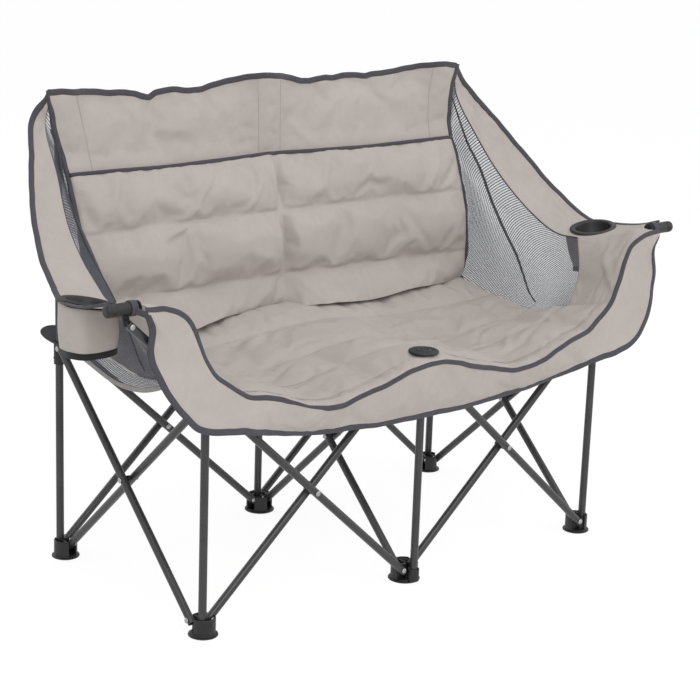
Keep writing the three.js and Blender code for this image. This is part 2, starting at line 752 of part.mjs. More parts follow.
// Sides: wing, arm, gusset and mesh panel, with the cup holder and the pouch. Each panel stops
// a small share of its size short of its seams.
const wingTrimShares = { v0: 0.02, u1: 0.003 };
const armTrimShares = { u0: 0.001, v0: 0.01 };
const meshTrimShares = { u0: 0.02, u1: 0.015, v0: 0.03, v1: 0.02 };
const gussetTrimShares = { u0: 0.01, u1: 0.015, v0: 0.03, v1: 0.03 };
for (const [sideName, side] of [['left', -1], ['right', 1]]) {
  const wingInner = curveThrough([...places(wingInnerShares), armInnerPlaces[0]], side);
  const wingOuter = curveThrough([...places(wingOuterShares), armOuterPlaces[0]], side);
  const armInner = curveThrough(armInnerPlaces, side);
  const armOuter = curveThrough(armOuterPlaces, side);
  const wing = patch(
    wingInner, wingOuter,
    line(wingInner.getPointAt(0), wingOuter.getPointAt(0)),
    line(wingInner.getPointAt(1), wingOuter.getPointAt(1)),
  );
  const armPatch = patch(
    armInner, armOuter,
    line(armInner.getPointAt(0), armOuter.getPointAt(0)),
    line(armInner.getPointAt(1), armOuter.getPointAt(1)),
  );
  const armSurface = (u, v) => {
    const point = armPatch(u, v);
    point.z = armHeight(Math.abs(point.x), point.y);
    return point;
  };
  const cupPlace = new THREE.Vector3(side * cupReach, cupDepthPlace, cupHeight);
  const cupTurn = new THREE.Euler(0, -side * Math.atan(armTiltShare), 0);
  const holeRadius = cupRimRadius + seatingGap;
  const hole = new THREE.CylinderGeometry(holeRadius, holeRadius, cupDepth, cupSides);
  hole.rotateX(Math.PI / 2);
  hole.rotateY(cupTurn.y);
  hole.translate(cupPlace.x, cupPlace.y, cupPlace.z);
  const thin = even(clothThickness);
  const wingSheet = solid(cloth(wing, 10, 2, thin, thin, wingTrimShares));
  const armSheet = solid(cloth(armSurface, 8, 3, thin, thin, armTrimShares));
  add(`wing_${sideName}`, geometryOf(wingSheet.subtract(solid(hole))), fabric);
  add(`arm_${sideName}`, geometryOf(armSheet.subtract(solid(hole))), fabric);
  add(`arm_bracket_${sideName}`, armBracket(), plastic, groundPlace('front_centre'),
    new THREE.Euler(0, 0, headingFrom('front_centre', `front_${sideName}`)));
  add(`cup_holder_${sideName}`, cupHolder(), plastic, cupPlace, cupTurn);
  add(`pouch_${sideName}`, pouch(side), apronFabric);

  const meshTop = curveThrough([...places(wingInnerShares), ...armInnerPlaces.slice(0, 2)], side);
  const meshLow = curve(seatSideShares.slice(1).reverse(), side);
  const meshPatch = patch(meshLow, meshTop, curve(meshBackShares, side), curve(meshFrontShares, side));
  const meshSurface = (u, v) => {
    const point = meshPatch(u, v);
    const bow = meshFold * Math.sin(2 * Math.PI * foldsInMesh * u) - meshBow * Math.sin(Math.PI * u);
    point.x += side * bow * Math.sin(Math.PI * v);
    return point;
  };
  add(`mesh_${sideName}`, cloth(meshSurface, 12, 6, thin, thin, meshTrimShares), meshFabric);

  const gussetTop = curveThrough([
    ...armInnerPlaces.slice(1),
    ...places([gussetMidShare, gussetSeamShares[gussetSeamShares.length - 1]]),
  ], side);
  const gusset = patch(
    curve(seatSideShares.slice(0, 2).reverse(), side), gussetTop,
    curve(meshFrontShares, side), curve(gussetSeamShares, side),
  );
  add(`gusset_${sideName}`, cloth(gusset, 6, 6, thin, thin, gussetTrimShares), fabric);
}

function cupHolder() {
  const inner = cupOuterRadius - cupWall;
  const top = cupRimThickness / 2;
  const profile = [
    [0, -cupDepth],
    [cupFootRadius, -cupDepth],
    [cupOuterRadius, -top],
    [cupRimRadius, -top],
    [cupRimRadius, top],
    [inner, top],
    [cupFootRadius - cupWall, cupWall - cupDepth],
    [0, cupWall - cupDepth],
  ].map(([radius, height]) => new THREE.Vector2(radius, height));
  const geometry = new THREE.LatheGeometry(profile, cupSides);
  geometry.rotateX(Math.PI / 2);
  return geometryOf(solid(geometry));
}

// The top of the pouch passes under the rim of the cup holder
function pouchTop(x, y) {
  const underRim = cupHeight + armTiltShare * (x - cupReach) - cupRimThickness / 2 - pouchGap;
  const underArm = armHeight(x, y) - clothThickness / 2 - pouchGap;
  return Math.abs(y - cupDepthPlace) < cupRimRadius ? underRim : underArm;
}

// A pouch is a walled bag, open at the top, that hangs from the arm around the cup holder
function pouch(side) {
  const rings = [
    { inset: pouchWall, level: pouchBottom + pouchWall },
    { inset: pouchWall, level: null },
    { inset: 0, level: null },
    { inset: 0, level: pouchBottom },
  ];
  const points = [];
  const round = (value) => Math.sign(value) * Math.abs(value) ** pouchRoundness;
  for (const { inset, level } of rings) {
    for (let step = 0; step < pouchSides; step += 1) {
      const angle = (2 * Math.PI * step) / pouchSides;
      const y = pouchDepthPlace + (pouchHalfLength - inset) * round(Math.sin(angle));
      const inner = edgeReach(armInnerPlan, y) + pouchEdgeInset + inset;
      const outer = edgeReach(armOuterPlan, y) - pouchEdgeInset - inset;
      const x = (inner + outer) / 2 + ((outer - inner) / 2) * round(Math.cos(angle));
      points.push(new THREE.Vector3(side * x, y, level ?? pouchTop(x, y)));
    }
  }
  const innerCentre = points.length;
  points.push(new THREE.Vector3(side * cupReach, pouchDepthPlace, pouchBottom + pouchWall));
  points.push(new THREE.Vector3(side * cupReach, pouchDepthPlace, pouchBottom));
  const triangles = [];
  for (let step = 0; step < pouchSides; step += 1) {
    const next = (step + 1) % pouchSides;
    for (let ring = 0; ring < rings.length - 1; ring += 1) {
      const low = ring * pouchSides;
      const high = low + pouchSides;
      triangles.push(low + step, low + next, high + next, low + step, high + next, high + step);
    }
    const last = (rings.length - 1) * pouchSides;
    triangles.push(innerCentre, next, step);
    triangles.push(innerCentre + 1, last + step, last + next);
  }
  return closedGeometry(points, triangles);
}

// The origin is under the centre of the whole part
const extent = new THREE.Box3().setFromObject(loveseat);
loveseat.position.y = -(extent.min.y + extent.max.y) / 2;

export default loveseat;
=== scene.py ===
import contextlib
import json
import math

import bmesh
import bpy
import numpy as np
from mathutils import Matrix, Vector


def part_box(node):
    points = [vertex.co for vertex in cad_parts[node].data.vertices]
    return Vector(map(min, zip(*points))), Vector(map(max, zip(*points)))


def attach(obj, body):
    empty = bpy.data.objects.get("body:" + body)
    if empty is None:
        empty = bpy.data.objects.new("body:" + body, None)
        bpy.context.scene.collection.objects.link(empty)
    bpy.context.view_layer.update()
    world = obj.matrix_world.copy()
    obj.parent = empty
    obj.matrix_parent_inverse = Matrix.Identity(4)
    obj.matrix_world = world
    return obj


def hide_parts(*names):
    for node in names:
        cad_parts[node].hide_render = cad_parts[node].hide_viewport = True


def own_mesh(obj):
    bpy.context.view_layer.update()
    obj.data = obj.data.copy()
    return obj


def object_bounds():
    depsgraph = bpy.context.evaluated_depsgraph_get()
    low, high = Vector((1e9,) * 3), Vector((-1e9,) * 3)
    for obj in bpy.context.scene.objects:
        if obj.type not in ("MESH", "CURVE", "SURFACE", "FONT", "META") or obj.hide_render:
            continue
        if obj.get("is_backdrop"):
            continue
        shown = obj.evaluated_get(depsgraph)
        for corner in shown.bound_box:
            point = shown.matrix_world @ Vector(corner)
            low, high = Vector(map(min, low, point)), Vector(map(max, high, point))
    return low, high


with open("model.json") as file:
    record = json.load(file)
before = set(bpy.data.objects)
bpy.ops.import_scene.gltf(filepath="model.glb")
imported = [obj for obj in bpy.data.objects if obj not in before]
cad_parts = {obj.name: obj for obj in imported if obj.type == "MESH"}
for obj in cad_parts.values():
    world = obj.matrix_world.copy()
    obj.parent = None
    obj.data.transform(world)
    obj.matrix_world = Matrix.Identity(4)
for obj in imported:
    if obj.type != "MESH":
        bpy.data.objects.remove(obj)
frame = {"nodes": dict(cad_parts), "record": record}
cad_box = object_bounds()

# A folding camping loveseat: the sewn fabric and its trim, and rounder versions of the frame
# pieces. Sizes are millimetres in the part's own frame, front at -Y, before its shift in depth.
MM = 0.001
POST_PITCH = 510
ROW_DEPTH = POST_PITCH / 2
PIN_INSET = 24
FOOT_PIN_HEIGHT = 30
HUB_PIN_HEIGHT = 453
ARM_PIN_HEIGHT = 632
REAR_POST_TOP = 950
CLOTH = 3
RISE = HUB_PIN_HEIGHT - FOOT_PIN_HEIGHT
SPAN = POST_PITCH - 2 * PIN_INSET
CROSS_ANGLE = math.atan2(RISE, SPAN)
ARM_PIN_REACH = PIN_INSET + (ARM_PIN_HEIGHT - FOOT_PIN_HEIGHT) / math.tan(CROSS_ANGLE)
GRIP_REACH = ARM_PIN_REACH + 45
GRIP_HEIGHT = ARM_PIN_HEIGHT + 29
BACK_TOP = REAR_POST_TOP + 15

rear_low, rear_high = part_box("post_rear_centre")
DEPTH_SHIFT = (rear_low.y + rear_high.y) / 2 / MM - ROW_DEPTH


def metres(places):
    """Places in the part's own millimetres, as places in the row frame."""
    return (np.asarray(places, float) + (0, DEPTH_SHIFT, 0)) * MM


def unit(vectors):
    return vectors / np.maximum(np.linalg.norm(vectors, axis=-1, keepdims=True), 1e-9)


def smooth_step(low, high, value):
    share = np.clip((value - low) / (high - low), 0, 1)
    return share * share * (3 - 2 * share)


CORNER_PULL = 14
WING_PULL = 6
GRIP_PULL = 18


def corner_pull(places):
    """How far outward the cloth is pulled at its left rear corner and left wing."""
    x, y, z = np.moveaxis(places, -1, 0)
    corner = smooth_step(400, 515, -x) * (1 - 0.9 * smooth_step(520, 545, -x))
    pull = CORNER_PULL * corner * smooth_step(840, 900, z) + WING_PULL * smooth_step(515, 560, -x)
    return pull * smooth_step(-25, 50, y)


def cloth_places(places):
    """Sewn places in the row frame, pulled at the left rear corner and toward the arm grips."""
    places = np.array(places, float)
    x, y, z = np.moveaxis(places, -1, 0)
    inward = GRIP_PULL * smooth_step(600, 660, abs(x)) * smooth_step(560, 640, z)
    places[..., 0] = x - corner_pull(places) - np.sign(x) * inward * smooth_step(170, 235, -y)
    return metres(places)


def distances_along(line):
    """How far along a line each of its places is."""
    return np.concatenate([[0], np.cumsum(np.linalg.norm(np.diff(line, axis=0), axis=1))])


def at_distances(values, along, wanted):
    """Values that go with the places of a line, as they are at other distances along it."""
    columns = np.asarray(values, float).T
    return np.stack([np.interp(wanted, along, column) for column in columns], -1)


# Seams. The fabric's shape hangs between lines given as shares of the frame's sizes.
SEAM_DETAIL = 24
NORMAL_STEP = 1 / 400


class Seam:
    """A smooth line through places, which is followed by its share of length."""

    def __init__(self, places):
        ends = np.asarray(places, float)
        ends = np.vstack([2 * ends[0] - ends[1], ends, 2 * ends[-1] - ends[-2]])
        knots = np.linalg.norm(np.diff(ends, axis=0), axis=1) ** 0.5
        share = np.linspace(0, 1, SEAM_DETAIL, endpoint=False)[:, None]
        runs = []
        for index in range(len(ends) - 3):
            a, b, c, d = ends[index : index + 4]
            before, here, after = knots[index : index + 3]
            leave = here * ((b - a) / before - (c - a) / (before + here) + (c - b) / here)
            arrive = here * ((c - b) / here - (d - b) / (here + after) + (d - c) / after)
            square = 3 * (c - b) - 2 * leave - arrive
            cube = 2 * (b - c) + leave + arrive
            runs.append(b + leave * share + square * share**2 + cube * share**3)
        self.places = np.vstack([*runs, ends[-2:-1]])
        self.along = distances_along(self.places)
        self.length = self.along[-1]

    def at(self, share):
        return at_distances(self.places, self.along, np.clip(share, 0, 1) * self.length)


def places_of(shares):
    """Shares of the post pitch, the row depth and the back's height, as places."""
    x, y, z = np.asarray(shares, float).T
    reach = np.sign(x) * np.interp(abs(x), [0, 1, 1.4245], [0, POST_PITCH, GRIP_REACH])
    height = np.interp(
        z,
        [0, 0.4694, 0.51, 0.6549, 0.688, 1],
        [0, HUB_PIN_HEIGHT, HUB_PIN_HEIGHT + 39, ARM_PIN_HEIGHT, GRIP_HEIGHT + CLOTH, BACK_TOP],
    )
    return np.stack([reach, y * ROW_DEPTH, height], -1)


def both_halves(shares):
    right = np.asarray(shares, float)
    left = right[:0:-1] * (-1, 1, 1)
    return Seam(places_of(np.vstack([left, right])))


def on_side(places, side):
    return Seam(np.asarray(places) * (side, 1, 1))


def both_sides(shares):
    return [on_side(places_of(shares), side) for side in (-1, 1)]


def paired(u, v):
    """Two shares as arrays of one form."""
    return np.broadcast_arrays(np.asarray(u, float), np.asarray(v, float))


def patch(low, high, left, right):
    """A surface hung between four seams: low and high run along u, left and right along v."""

    def surface(u, v):
        u, v = paired(u, v)
        over, up = u[..., None], v[..., None]
        across = low.at(u) * (1 - up) + high.at(u) * up
        along = left.at(v) * (1 - over) + right.at(v) * over
        low_line = low.at(0) * (1 - over) + low.at(1) * over
        high_line = high.at(0) * (1 - over) + high.at(1) * over
        return across + along - low_line * (1 - up) - high_line * up

    return surface


def between(low, high):
    """A surface from one seam to another, with straight sides."""
    return patch(low, high, *(Seam([low.at(end), high.at(end)]) for end in (0, 1)))


def normal_at(surface, u, v):
    (low_u, high_u), (low_v, high_v) = (
        (np.maximum(share - NORMAL_STEP, 0), np.minimum(share + NORMAL_STEP, 1))
        for share in (u, v)
    )
    along_u = surface(high_u, v) - surface(low_u, v)
    along_v = surface(u, high_v) - surface(u, low_v)
    return unit(np.cross(along_u, along_v))


def raised(surface, u, v, places, height):
    """Places moved off a surface along its normal, by a height at each of them."""
    return places + normal_at(surface, u, v) * height[..., None]


TOP_SEAM = [
    (0, -1.224, 0.493), (0.118, -1.216, 0.484), (0.235, -1.204, 0.465), (0.343, -1.196, 0.452),
    (0.461, -1.192, 0.439), (0.59, -1.196, 0.448), (0.68, -1.2, 0.466), (0.776, -1.192, 0.484),
    (0.873, -1.165, 0.493), (0.943, -1.149, 0.517), (1.004, -1.141, 0.542),
]
GUSSET_SEAM = [
    (1.004, -1.141, 0.542), (1.043, -1.129, 0.572), (1.069, -1.122, 0.604), (1.092, -1.118, 0.637),
    (1.133, -1.114, 0.666), (1.216, -1.112, 0.684), (1.284, -1.108, 0.687), (1.33, -1.108, 0.688),
]
GUSSET_MIDDLE = (1.308, -1.04, 0.687)
APRON_HEM = [
    (0, -1.161, 0.374), (0.216, -1.145, 0.373), (0.392, -1.133, 0.378), (0.555, -1.129, 0.384),
    (0.659, -1.145, 0.394), (0.788, -1.188, 0.409), (0.916, -1.247, 0.427), (1.022, -1.259, 0.436),
    (1.116, -1.243, 0.45), (1.182, -1.227, 0.485), (1.229, -1.196, 0.522), (1.261, -1.145, 0.561),
    (1.286, -1.118, 0.599), (1.3, -1.108, 0.639), (1.325, -1.108, 0.672),
]
SEAT_SIDE = [
    (1.004, -1.141, 0.542), (1.002, -0.631, 0.505), (1, -0.208, 0.478), (1, 0.153, 0.482),
    (0.99, 0.67, 0.503),
]
SEAT_REAR = [(0, 0.784, 0.498), (0.588, 0.753, 0.498), (0.99, 0.67, 0.503)]
BACK_SIDE = [
    (0.99, 0.675, 0.509), (0.99, 0.624, 0.561), (0.99, 0.627, 0.615), (0.99, 0.651, 0.667),
    (0.99, 0.702, 0.718), (0.99, 0.776, 0.769), (0.99, 0.847, 0.813), (0.99, 0.885, 0.832),
]
BACK_FOOT = [(0, 0.784, 0.51), (0.588, 0.757, 0.51), (0.99, 0.675, 0.51)]
PAD_TOP = [(0, 0.94, 0.832), (0.588, 0.92, 0.832), (0.99, 0.885, 0.832)]
BAND_SIDE = [
    (0.99, 0.885, 0.832), (0.994, 0.933, 0.863), (1.004, 1, 0.93), (1.024, 1.059, 0.974),
    (1.035, 1.075, 0.997),
]
BAND_TOP = [
    (0, 1.07, 1), (0.2, 1.065, 0.994), (0.36, 1.06, 0.988), (0.45, 1.065, 0.996),
    (0.75, 1.07, 0.995), (1.035, 1.075, 0.997),
]
MESH_FRONT = [(1.002, -0.631, 0.505), (1.108, -0.57, 0.572), (1.171, -0.412, 0.641)]
WING_OUTER = [
    (1.035, 1.075, 0.997), (1.106, 0.976, 0.958), (1.19, 0.737, 0.879), (1.263, 0.478, 0.801),
    (1.318, 0.192, 0.728),
]
WING_INNER = [
    (1.036, 1.066, 0.978), (1.053, 0.969, 0.929), (1.076, 0.725, 0.838), (1.11, 0.451, 0.751),
    (1.135, 0.082, 0.678),
]
ARM_OUTER_PLAN = [(1.373, -0.188, 0), (1.401, -0.431, 0), (1.412, -0.706, 0), (1.42, -0.948, 0)]
ARM_INNER_PLAN = [(1.157, -0.176, 0), (1.171, -0.412, 0), (1.231, -0.706, 0), (1.312, -0.948, 0)]

# Cup holders
CUP_DEPTH_PLACE = -0.357 * ROW_DEPTH
CUP_TILT = 0.18
CUP_RIM_RADIUS = 52
CUP_HOLE_RADIUS = 43.5
CUP_OUTER_RADIUS = 42
CUP_FOOT_RADIUS = 28
CUP_DEPTH = 68


def plan_reach(plan, y):
    line = places_of(plan)[::-1]
    return np.interp(y, line[:, 1], line[:, 0])


CUP_REACH = float(
    0.44 * plan_reach(ARM_INNER_PLAN, CUP_DEPTH_PLACE)
    + 0.56 * plan_reach(ARM_OUTER_PLAN, CUP_DEPTH_PLACE)
)


def arm_height(x, y):
    """The arm rises outward, and dips along its length at the cup holder."""
    return ARM_PIN_HEIGHT + CUP_TILT * (x - CUP_REACH) + (y - CUP_DEPTH_PLACE) ** 2 / 790


def arm_places(plan):
    line = places_of(plan)
    line[:, 2] = arm_height(line[:, 0], line[:, 1])
    return line


ARM_OUTER = arm_places(ARM_OUTER_PLAN)
ARM_INNER = arm_places(ARM_INNER_PLAN)
SIDES = {"left": -1, "right": 1}


# Finishes. Sums on the numbers of a surface are written as sums, and add their nodes.
def operator(name):
    return lambda first, second: first.maths(name, first, second)


class Share:
    """A number that varies over a surface."""

    def __init__(self, graph, socket):
        self.graph = graph
        self.socket = socket

    def maths(self, operation, *values):
        return self.graph.node("ShaderNodeMath", {"operation": operation}, dict(enumerate(values)))

    __add__ = __radd__ = operator("ADD")
    __mul__ = operator("MULTIPLY")
    __sub__ = operator("SUBTRACT")
    __truediv__ = operator("DIVIDE")
    __pow__ = operator("POWER")
    __gt__ = operator("GREATER_THAN")
    at_most = operator("MINIMUM")

    def __rsub__(self, other):
        return self.maths("SUBTRACT", other, self)

    def __abs__(self):
        return self.maths("ABSOLUTE", self)

    def wave(self):
        return self.maths("SINE", self)

    def whole(self):
        return self.maths("FLOOR", self)

    def output(self, name):
        """Another output of the node that this number comes from."""
        return Share(self.graph, self.socket.node.outputs[name])


class Graph:
    """The shader nodes of a material or a world, all made by one method."""

    def __init__(self, owner):
        owner.use_nodes = True
        self.tree = owner.node_tree

    def feed(self, socket, value):
        if isinstance(value, Share):
            self.tree.links.new(value.socket, socket)
        else:
            socket.default_value = value

    def node(self, kind, settings, sockets, output=0):
        made = self.tree.nodes.new(kind)
        for name, value in settings.items():
            setattr(made, name, value)
        for name, value in sockets.items():
            self.feed(made.inputs[name], value)
        return Share(self, made.outputs[output])


class Finish(Graph):
    """A material, with the textures that its finish is made of."""

    def __init__(self, name, **constants):
        self.material = bpy.data.materials.new(name)
        super().__init__(self.material)
        self.shader = self.tree.nodes["Principled BSDF"]
        self.paint(**constants)

    def paint(self, **values):
        for socket, value in values.items():
            self.feed(self.shader.inputs[socket.replace("_", " ")], value)

    def coordinates(self, which):
        return self.node("ShaderNodeTexCoord", {}, {}, which)

    def pattern(self):
        """The two numbers of the flat pattern, in metres."""
        found = self.node("ShaderNodeSeparateXYZ", {}, {"Vector": self.coordinates("UV")})
        return found, found.output(1)

    def noise(self, scale, detail=2, where="Object", stretch=(1, 1, 1)):
        sockets = {"Vector": self.coordinates(where), "Scale": stretch}
        spread = self.node("ShaderNodeMapping", {}, sockets)
        sockets = {"Vector": spread, "Scale": scale, "Detail": detail}
        return self.node("ShaderNodeTexNoise", {}, sockets, "Fac")

    def blend(self, share, first, second):
        sockets = {0: share, 6: colour(first), 7: colour(second)}
        return self.node("ShaderNodeMix", {"data_type": "RGBA"}, sockets, 2)

    def relief(self, height, distance, strength):
        sockets = {"Height": height, "Distance": distance, "Strength": strength}
        self.paint(Normal=self.node("ShaderNodeBump", {}, sockets))


def colour(code):
    """A written colour such as b9b1a8, as linear red, green, blue and alpha."""
    shares = [int(code[index : index + 2], 16) / 255 for index in (0, 2, 4)]
    linear = [s / 12.92 if s <= 0.04045 else ((s + 0.055) / 1.055) ** 2.4 for s in shares]
    return (*linear, 1)


YARN_PITCH = 0.0009
RIB_PITCH = 0.0011
NET_PITCH = 0.0064
NET_HOLE = 0.0021


def canvas(name, code, shade):
    """Plain-woven polyester canvas, with its yarns and a faint mottle."""
    finish = Finish(name, Sheen_Weight=0.12, Sheen_Roughness=0.5, IOR=1.42)
    warp, weft = ((way * (math.pi / YARN_PITCH)).wave() for way in finish.pattern())
    yarns = abs(warp) * 0.5 + abs(weft) * 0.5 + warp * weft * 0.25
    mottle = finish.noise(7, 4) * 0.7 + finish.noise(60, 2) * 0.3
    streaks = finish.noise(420, 1, "UV", (1, 0.05, 1))
    tone = (mottle * 0.75 + streaks * 0.15 + yarns * 0.1 - 0.28) * 1.5
    finish.paint(Base_Color=finish.blend(tone, shade, code), Roughness=0.93 - mottle * 0.16)
    creases = finish.noise(38, 3, stretch=(1, 1, 1.6))
    finish.relief(yarns * 0.1 + creases, 0.0016, 0.55)
    return finish.material


def tape(name, code, shade):
    """Ribbed edge tape, with fine ribs across it."""
    finish = Finish(name, Sheen_Weight=0.1, Sheen_Roughness=0.5, IOR=1.4)
    ribs = (finish.pattern()[0] * (2 * math.pi / RIB_PITCH)).wave() * 0.5 + 0.5
    wear = finish.noise(110, 3)
    tone = ribs * 0.35 + wear * 0.9 - 0.15
    finish.paint(Base_Color=finish.blend(tone, shade, code), Roughness=0.8 + wear * 0.12)
    finish.relief(ribs * 0.5 + wear * 0.5, 0.0006, 0.6)
    return finish.material


def netting():
    """Knitted mesh with round holes in staggered rows."""
    finish = Finish("mesh fabric", IOR=1.4)
    row_pitch = NET_PITCH * math.sqrt(3) / 2
    u, v = finish.pattern()
    row = v * (1 / row_pitch)
    place = u / NET_PITCH + row.whole() * 0.5
    near_u = (place - place.whole() - 0.5) * NET_PITCH
    near_v = (row - row.whole() - 0.5) * row_pitch
    reach = (near_u * near_u + near_v * near_v) ** 0.5
    fuzz = finish.noise(300, 2)
    finish.paint(
        Base_Color=finish.blend(fuzz, "4c4e57", "6d6f79"),
        Alpha=reach > NET_HOLE,
        Roughness=0.72 + fuzz * 0.15,
    )
    finish.relief(((reach - 0.0018) / 0.0018).at_most(1), 0.0008, 0.6)
    return finish.material


def hard(name, colours, wear, grain, relief, worn, **constants):
    """A hard finish with a fine grain. Wear adds to its colour and to what is named in worn."""
    finish = Finish(name, **constants)
    share = finish.noise(*wear)
    finish.paint(Base_Color=finish.blend(share, *colours))
    finish.paint(**{socket: least + share * more for socket, (least, more) in worn.items()})
    finish.relief(finish.noise(*grain), *relief)
    return finish.material


GREIGE = canvas("greige canvas", "beb6b1", "aca49f")
# The apron's canvas: the greige canvas made a little darker, as painted shade for the apron, which
# catches more of the light than the other panels
SHADED_CANVAS = canvas("canvas with painted shade", "bbb3ad", "aba39d")
TAPE = tape("edge tape", "525057", "3c3b41")
THREAD = tape("sewing thread", "8f877f", "7b746d")
WEBBING = tape("black webbing", "2a292b", "18181a")
HEM = tape("mesh hem", "a9a5a2", "8b8886")
NETTING = netting()
# Satin powder coat, spark-eroded plastic and zinc-plated rivets
COAT = hard(
    "tube coat", ("2f2f31", "444446"), (24, 4), (900, 2), (0.0002, 0.35),
    {"Roughness": (0.3, 0.16), "Metallic": (0.35, 0.1), "Coat_Weight": (0.12, 0.1)},
    IOR=1.5, Coat_Roughness=0.25,
)
PLASTIC = hard("black plastic", ("131314", "202022"), (30, 5), (1400, 2), (0.0003, 0.5),
               {"Roughness": (0.4, 0.2)}, IOR=1.46)
METAL = hard("rivet metal", ("8d8d8f", "b9b9ba"), (260, 4), (260, 4), (0.0002, 0.4),
             {"Roughness": (0.26, 0.2), "Metallic": (0.9, 0.08)}, IOR=1.5)


# Mesh making
def read_places(mesh):
    places = np.empty(len(mesh.vertices) * 3)
    mesh.vertices.foreach_get("co", places)
    return places.reshape(-1, 3)


def write_places(mesh, places):
    mesh.vertices.foreach_set("co", np.asarray(places, np.float32).ravel())
    mesh.update()


def shown(name, data):
    """A new object in the scene."""
    made = bpy.data.objects.new(name, data)
    bpy.context.scene.collection.objects.link(made)
    return made


def new_piece(name, mesh, finish):
    piece = shown(name, mesh)
    mesh.materials.clear()
    mesh.materials.append(finish)
    mesh.shade_smooth()
    return piece


def mesh_of(build, name):
    mesh = bpy.data.meshes.new(name)
    build.to_mesh(mesh)
    build.free()
    return mesh


@contextlib.contextmanager
def reshaped(mesh):
    """A mesh opened for editing, and written back afterwards."""
    build = bmesh.new()
    build.from_mesh(mesh)
    yield build
    build.to_mesh(mesh)
    build.free()


def grid(name, across, along):
    """A square grid of faces, and each vertex's shares across and along it."""
    build = bmesh.new()
    build.loops.layers.uv.new("UVMap")
    bmesh.ops.create_grid(build, x_segments=across, y_segments=along, size=1)
    mesh = mesh_of(build, name)
    places = read_places(mesh)[:, :2]
    shares = (places - places.min(0)) / (places.max(0) - places.min(0))
    return mesh, shares[:, 0], shares[:, 1]


def lay_pattern(mesh, u, v, width, length):
    """Gives the mesh a flat pattern in metres, so that weave and holes have their real size."""
    corners = np.empty(len(mesh.loops), int)
    mesh.loops.foreach_get("vertex_index", corners)
    flat = np.stack([u[corners] * width * MM, v[corners] * length * MM], -1)
    mesh.uv_layers[0].data.foreach_set("uv", flat.astype(np.float32).ravel())


def spans(surface):
    """The longest way across a surface and along it, in millimetres."""
    share = np.linspace(0, 1, SEAM_DETAIL)
    places = surface(*np.meshgrid(share, share, indexing="ij"))
    across = np.linalg.norm(np.diff(places, axis=0), axis=-1).sum(0).max()
    along = np.linalg.norm(np.diff(places, axis=1), axis=-1).sum(1).max()
    return across, along


def softened(piece):
    smoother = piece.modifiers.new("softness", "SUBSURF")
    smoother.levels = smoother.render_levels = 1


def rim_gap(u, v, width, length):
    """How far each vertex is from the rim of its pattern, in millimetres."""
    return np.minimum(np.minimum(u, 1 - u) * width, np.minimum(v, 1 - v) * length)


def held_within(reach, *gaps):
    """One for a vertex that is nearer than this to a seam, and zero for the others."""
    return np.where(np.min(np.stack(gaps), axis=0) < reach, 1.0, 0.0)


def settle(piece, held, ease, cap, pressure=0.0, gravity=0.0, frames=14, stiffness=18, bend=0.4):
    """Lets cloth settle between its held vertices, by no more than a cap in millimetres. The
    ease is how much longer it was cut."""
    mesh = piece.data
    before = read_places(mesh)
    group = piece.vertex_groups.new(name="held")
    group.add(np.flatnonzero(held).tolist(), 1.0, "REPLACE")
    cloth = piece.modifiers.new("settling", "CLOTH")
    for setting, value in {
        "quality": 5, "mass": 0.3, "air_damping": 4, "tension_stiffness": stiffness,
        "compression_stiffness": stiffness, "shear_stiffness": stiffness / 3,
        "bending_stiffness": bend, "vertex_group_mass": "held", "shrink_min": -ease,
        "use_pressure": pressure != 0, "uniform_pressure_force": pressure,
    }.items():
        setattr(cloth.settings, setting, value)
    cloth.settings.effector_weights.gravity = gravity
    cloth.point_cache.frame_start = 1
    cloth.point_cache.frame_end = frames
    scene = bpy.context.scene
    for step in range(1, frames + 1):
        scene.frame_set(step)
    settled = piece.evaluated_get(bpy.context.evaluated_depsgraph_get())
    moved = read_places(settled.data) - before
    far = np.linalg.norm(moved, axis=1, keepdims=True)
    piece.modifiers.remove(cloth)
    piece.vertex_groups.remove(group)
    write_places(mesh, before + moved * np.minimum(1, cap * MM / np.maximum(far, 1e-9)))
    scene.frame_set(1)


def ridges(x, y, table):
    """Soft folds: each row has a height, a half width, and the line that the fold follows."""
    height = np.zeros_like(x)
    for rise, half, *line in table:
        line = np.reshape(line, (-1, 2)).astype(float)
        starts = distances_along(line)
        nearest = np.full(x.shape, np.inf)
        along = np.zeros_like(x)
        for (start_x, start_y), step, start in zip(line, np.diff(line, axis=0), starts):
            length = np.linalg.norm(step)
            way_x, way_y = step / length
            share = np.clip((x - start_x) * way_x + (y - start_y) * way_y, 0, length)
            gap = np.hypot(x - start_x - share * way_x, y - start_y - share * way_y)
            closer = gap < nearest
            nearest = np.where(closer, gap, nearest)
            along = np.where(closer, start + share, along)
        ends = np.sin(np.pi * np.clip(along / starts[-1], 0.03, 0.97)) ** 0.7
        height += rise * ends * np.exp(-((nearest / half) ** 2))
    return height


def squared(wave, power):
    """A wave drawn toward a square one."""
    return np.sign(wave) * abs(wave) ** power


def swept(name, finish, centres, wide, half_width, half_depth, sides=12, squareness=0.62):
    """A strip of trim swept along places: wide points across it, in the plane of the cloth."""
    centres = np.asarray(centres, float)
    wide = np.broadcast_to(np.asarray(wide, float), centres.shape)
    way = unit(np.gradient(centres, axis=0))
    across = unit(wide - way * (wide * way).sum(-1, keepdims=True))
    deep = np.cross(way, across)
    steps = len(centres) - 1
    mesh, along, around = grid(name, steps, sides)
    index = np.rint(along * steps).astype(int)
    angle = 2 * np.pi * around
    half_width = np.broadcast_to(np.asarray(half_width, float), len(centres))[index]
    out = squared(np.cos(angle), squareness) * half_width
    up = squared(np.sin(angle), squareness) * half_depth
    places = centres[index] + across[index] * out[:, None] + deep[index] * up[:, None]
    write_places(mesh, cloth_places(places))
    lay_pattern(mesh, along, around, distances_along(centres)[-1], 4 * half_width.max())
    joined(mesh, capped=True)
    return new_piece(name, mesh, finish)


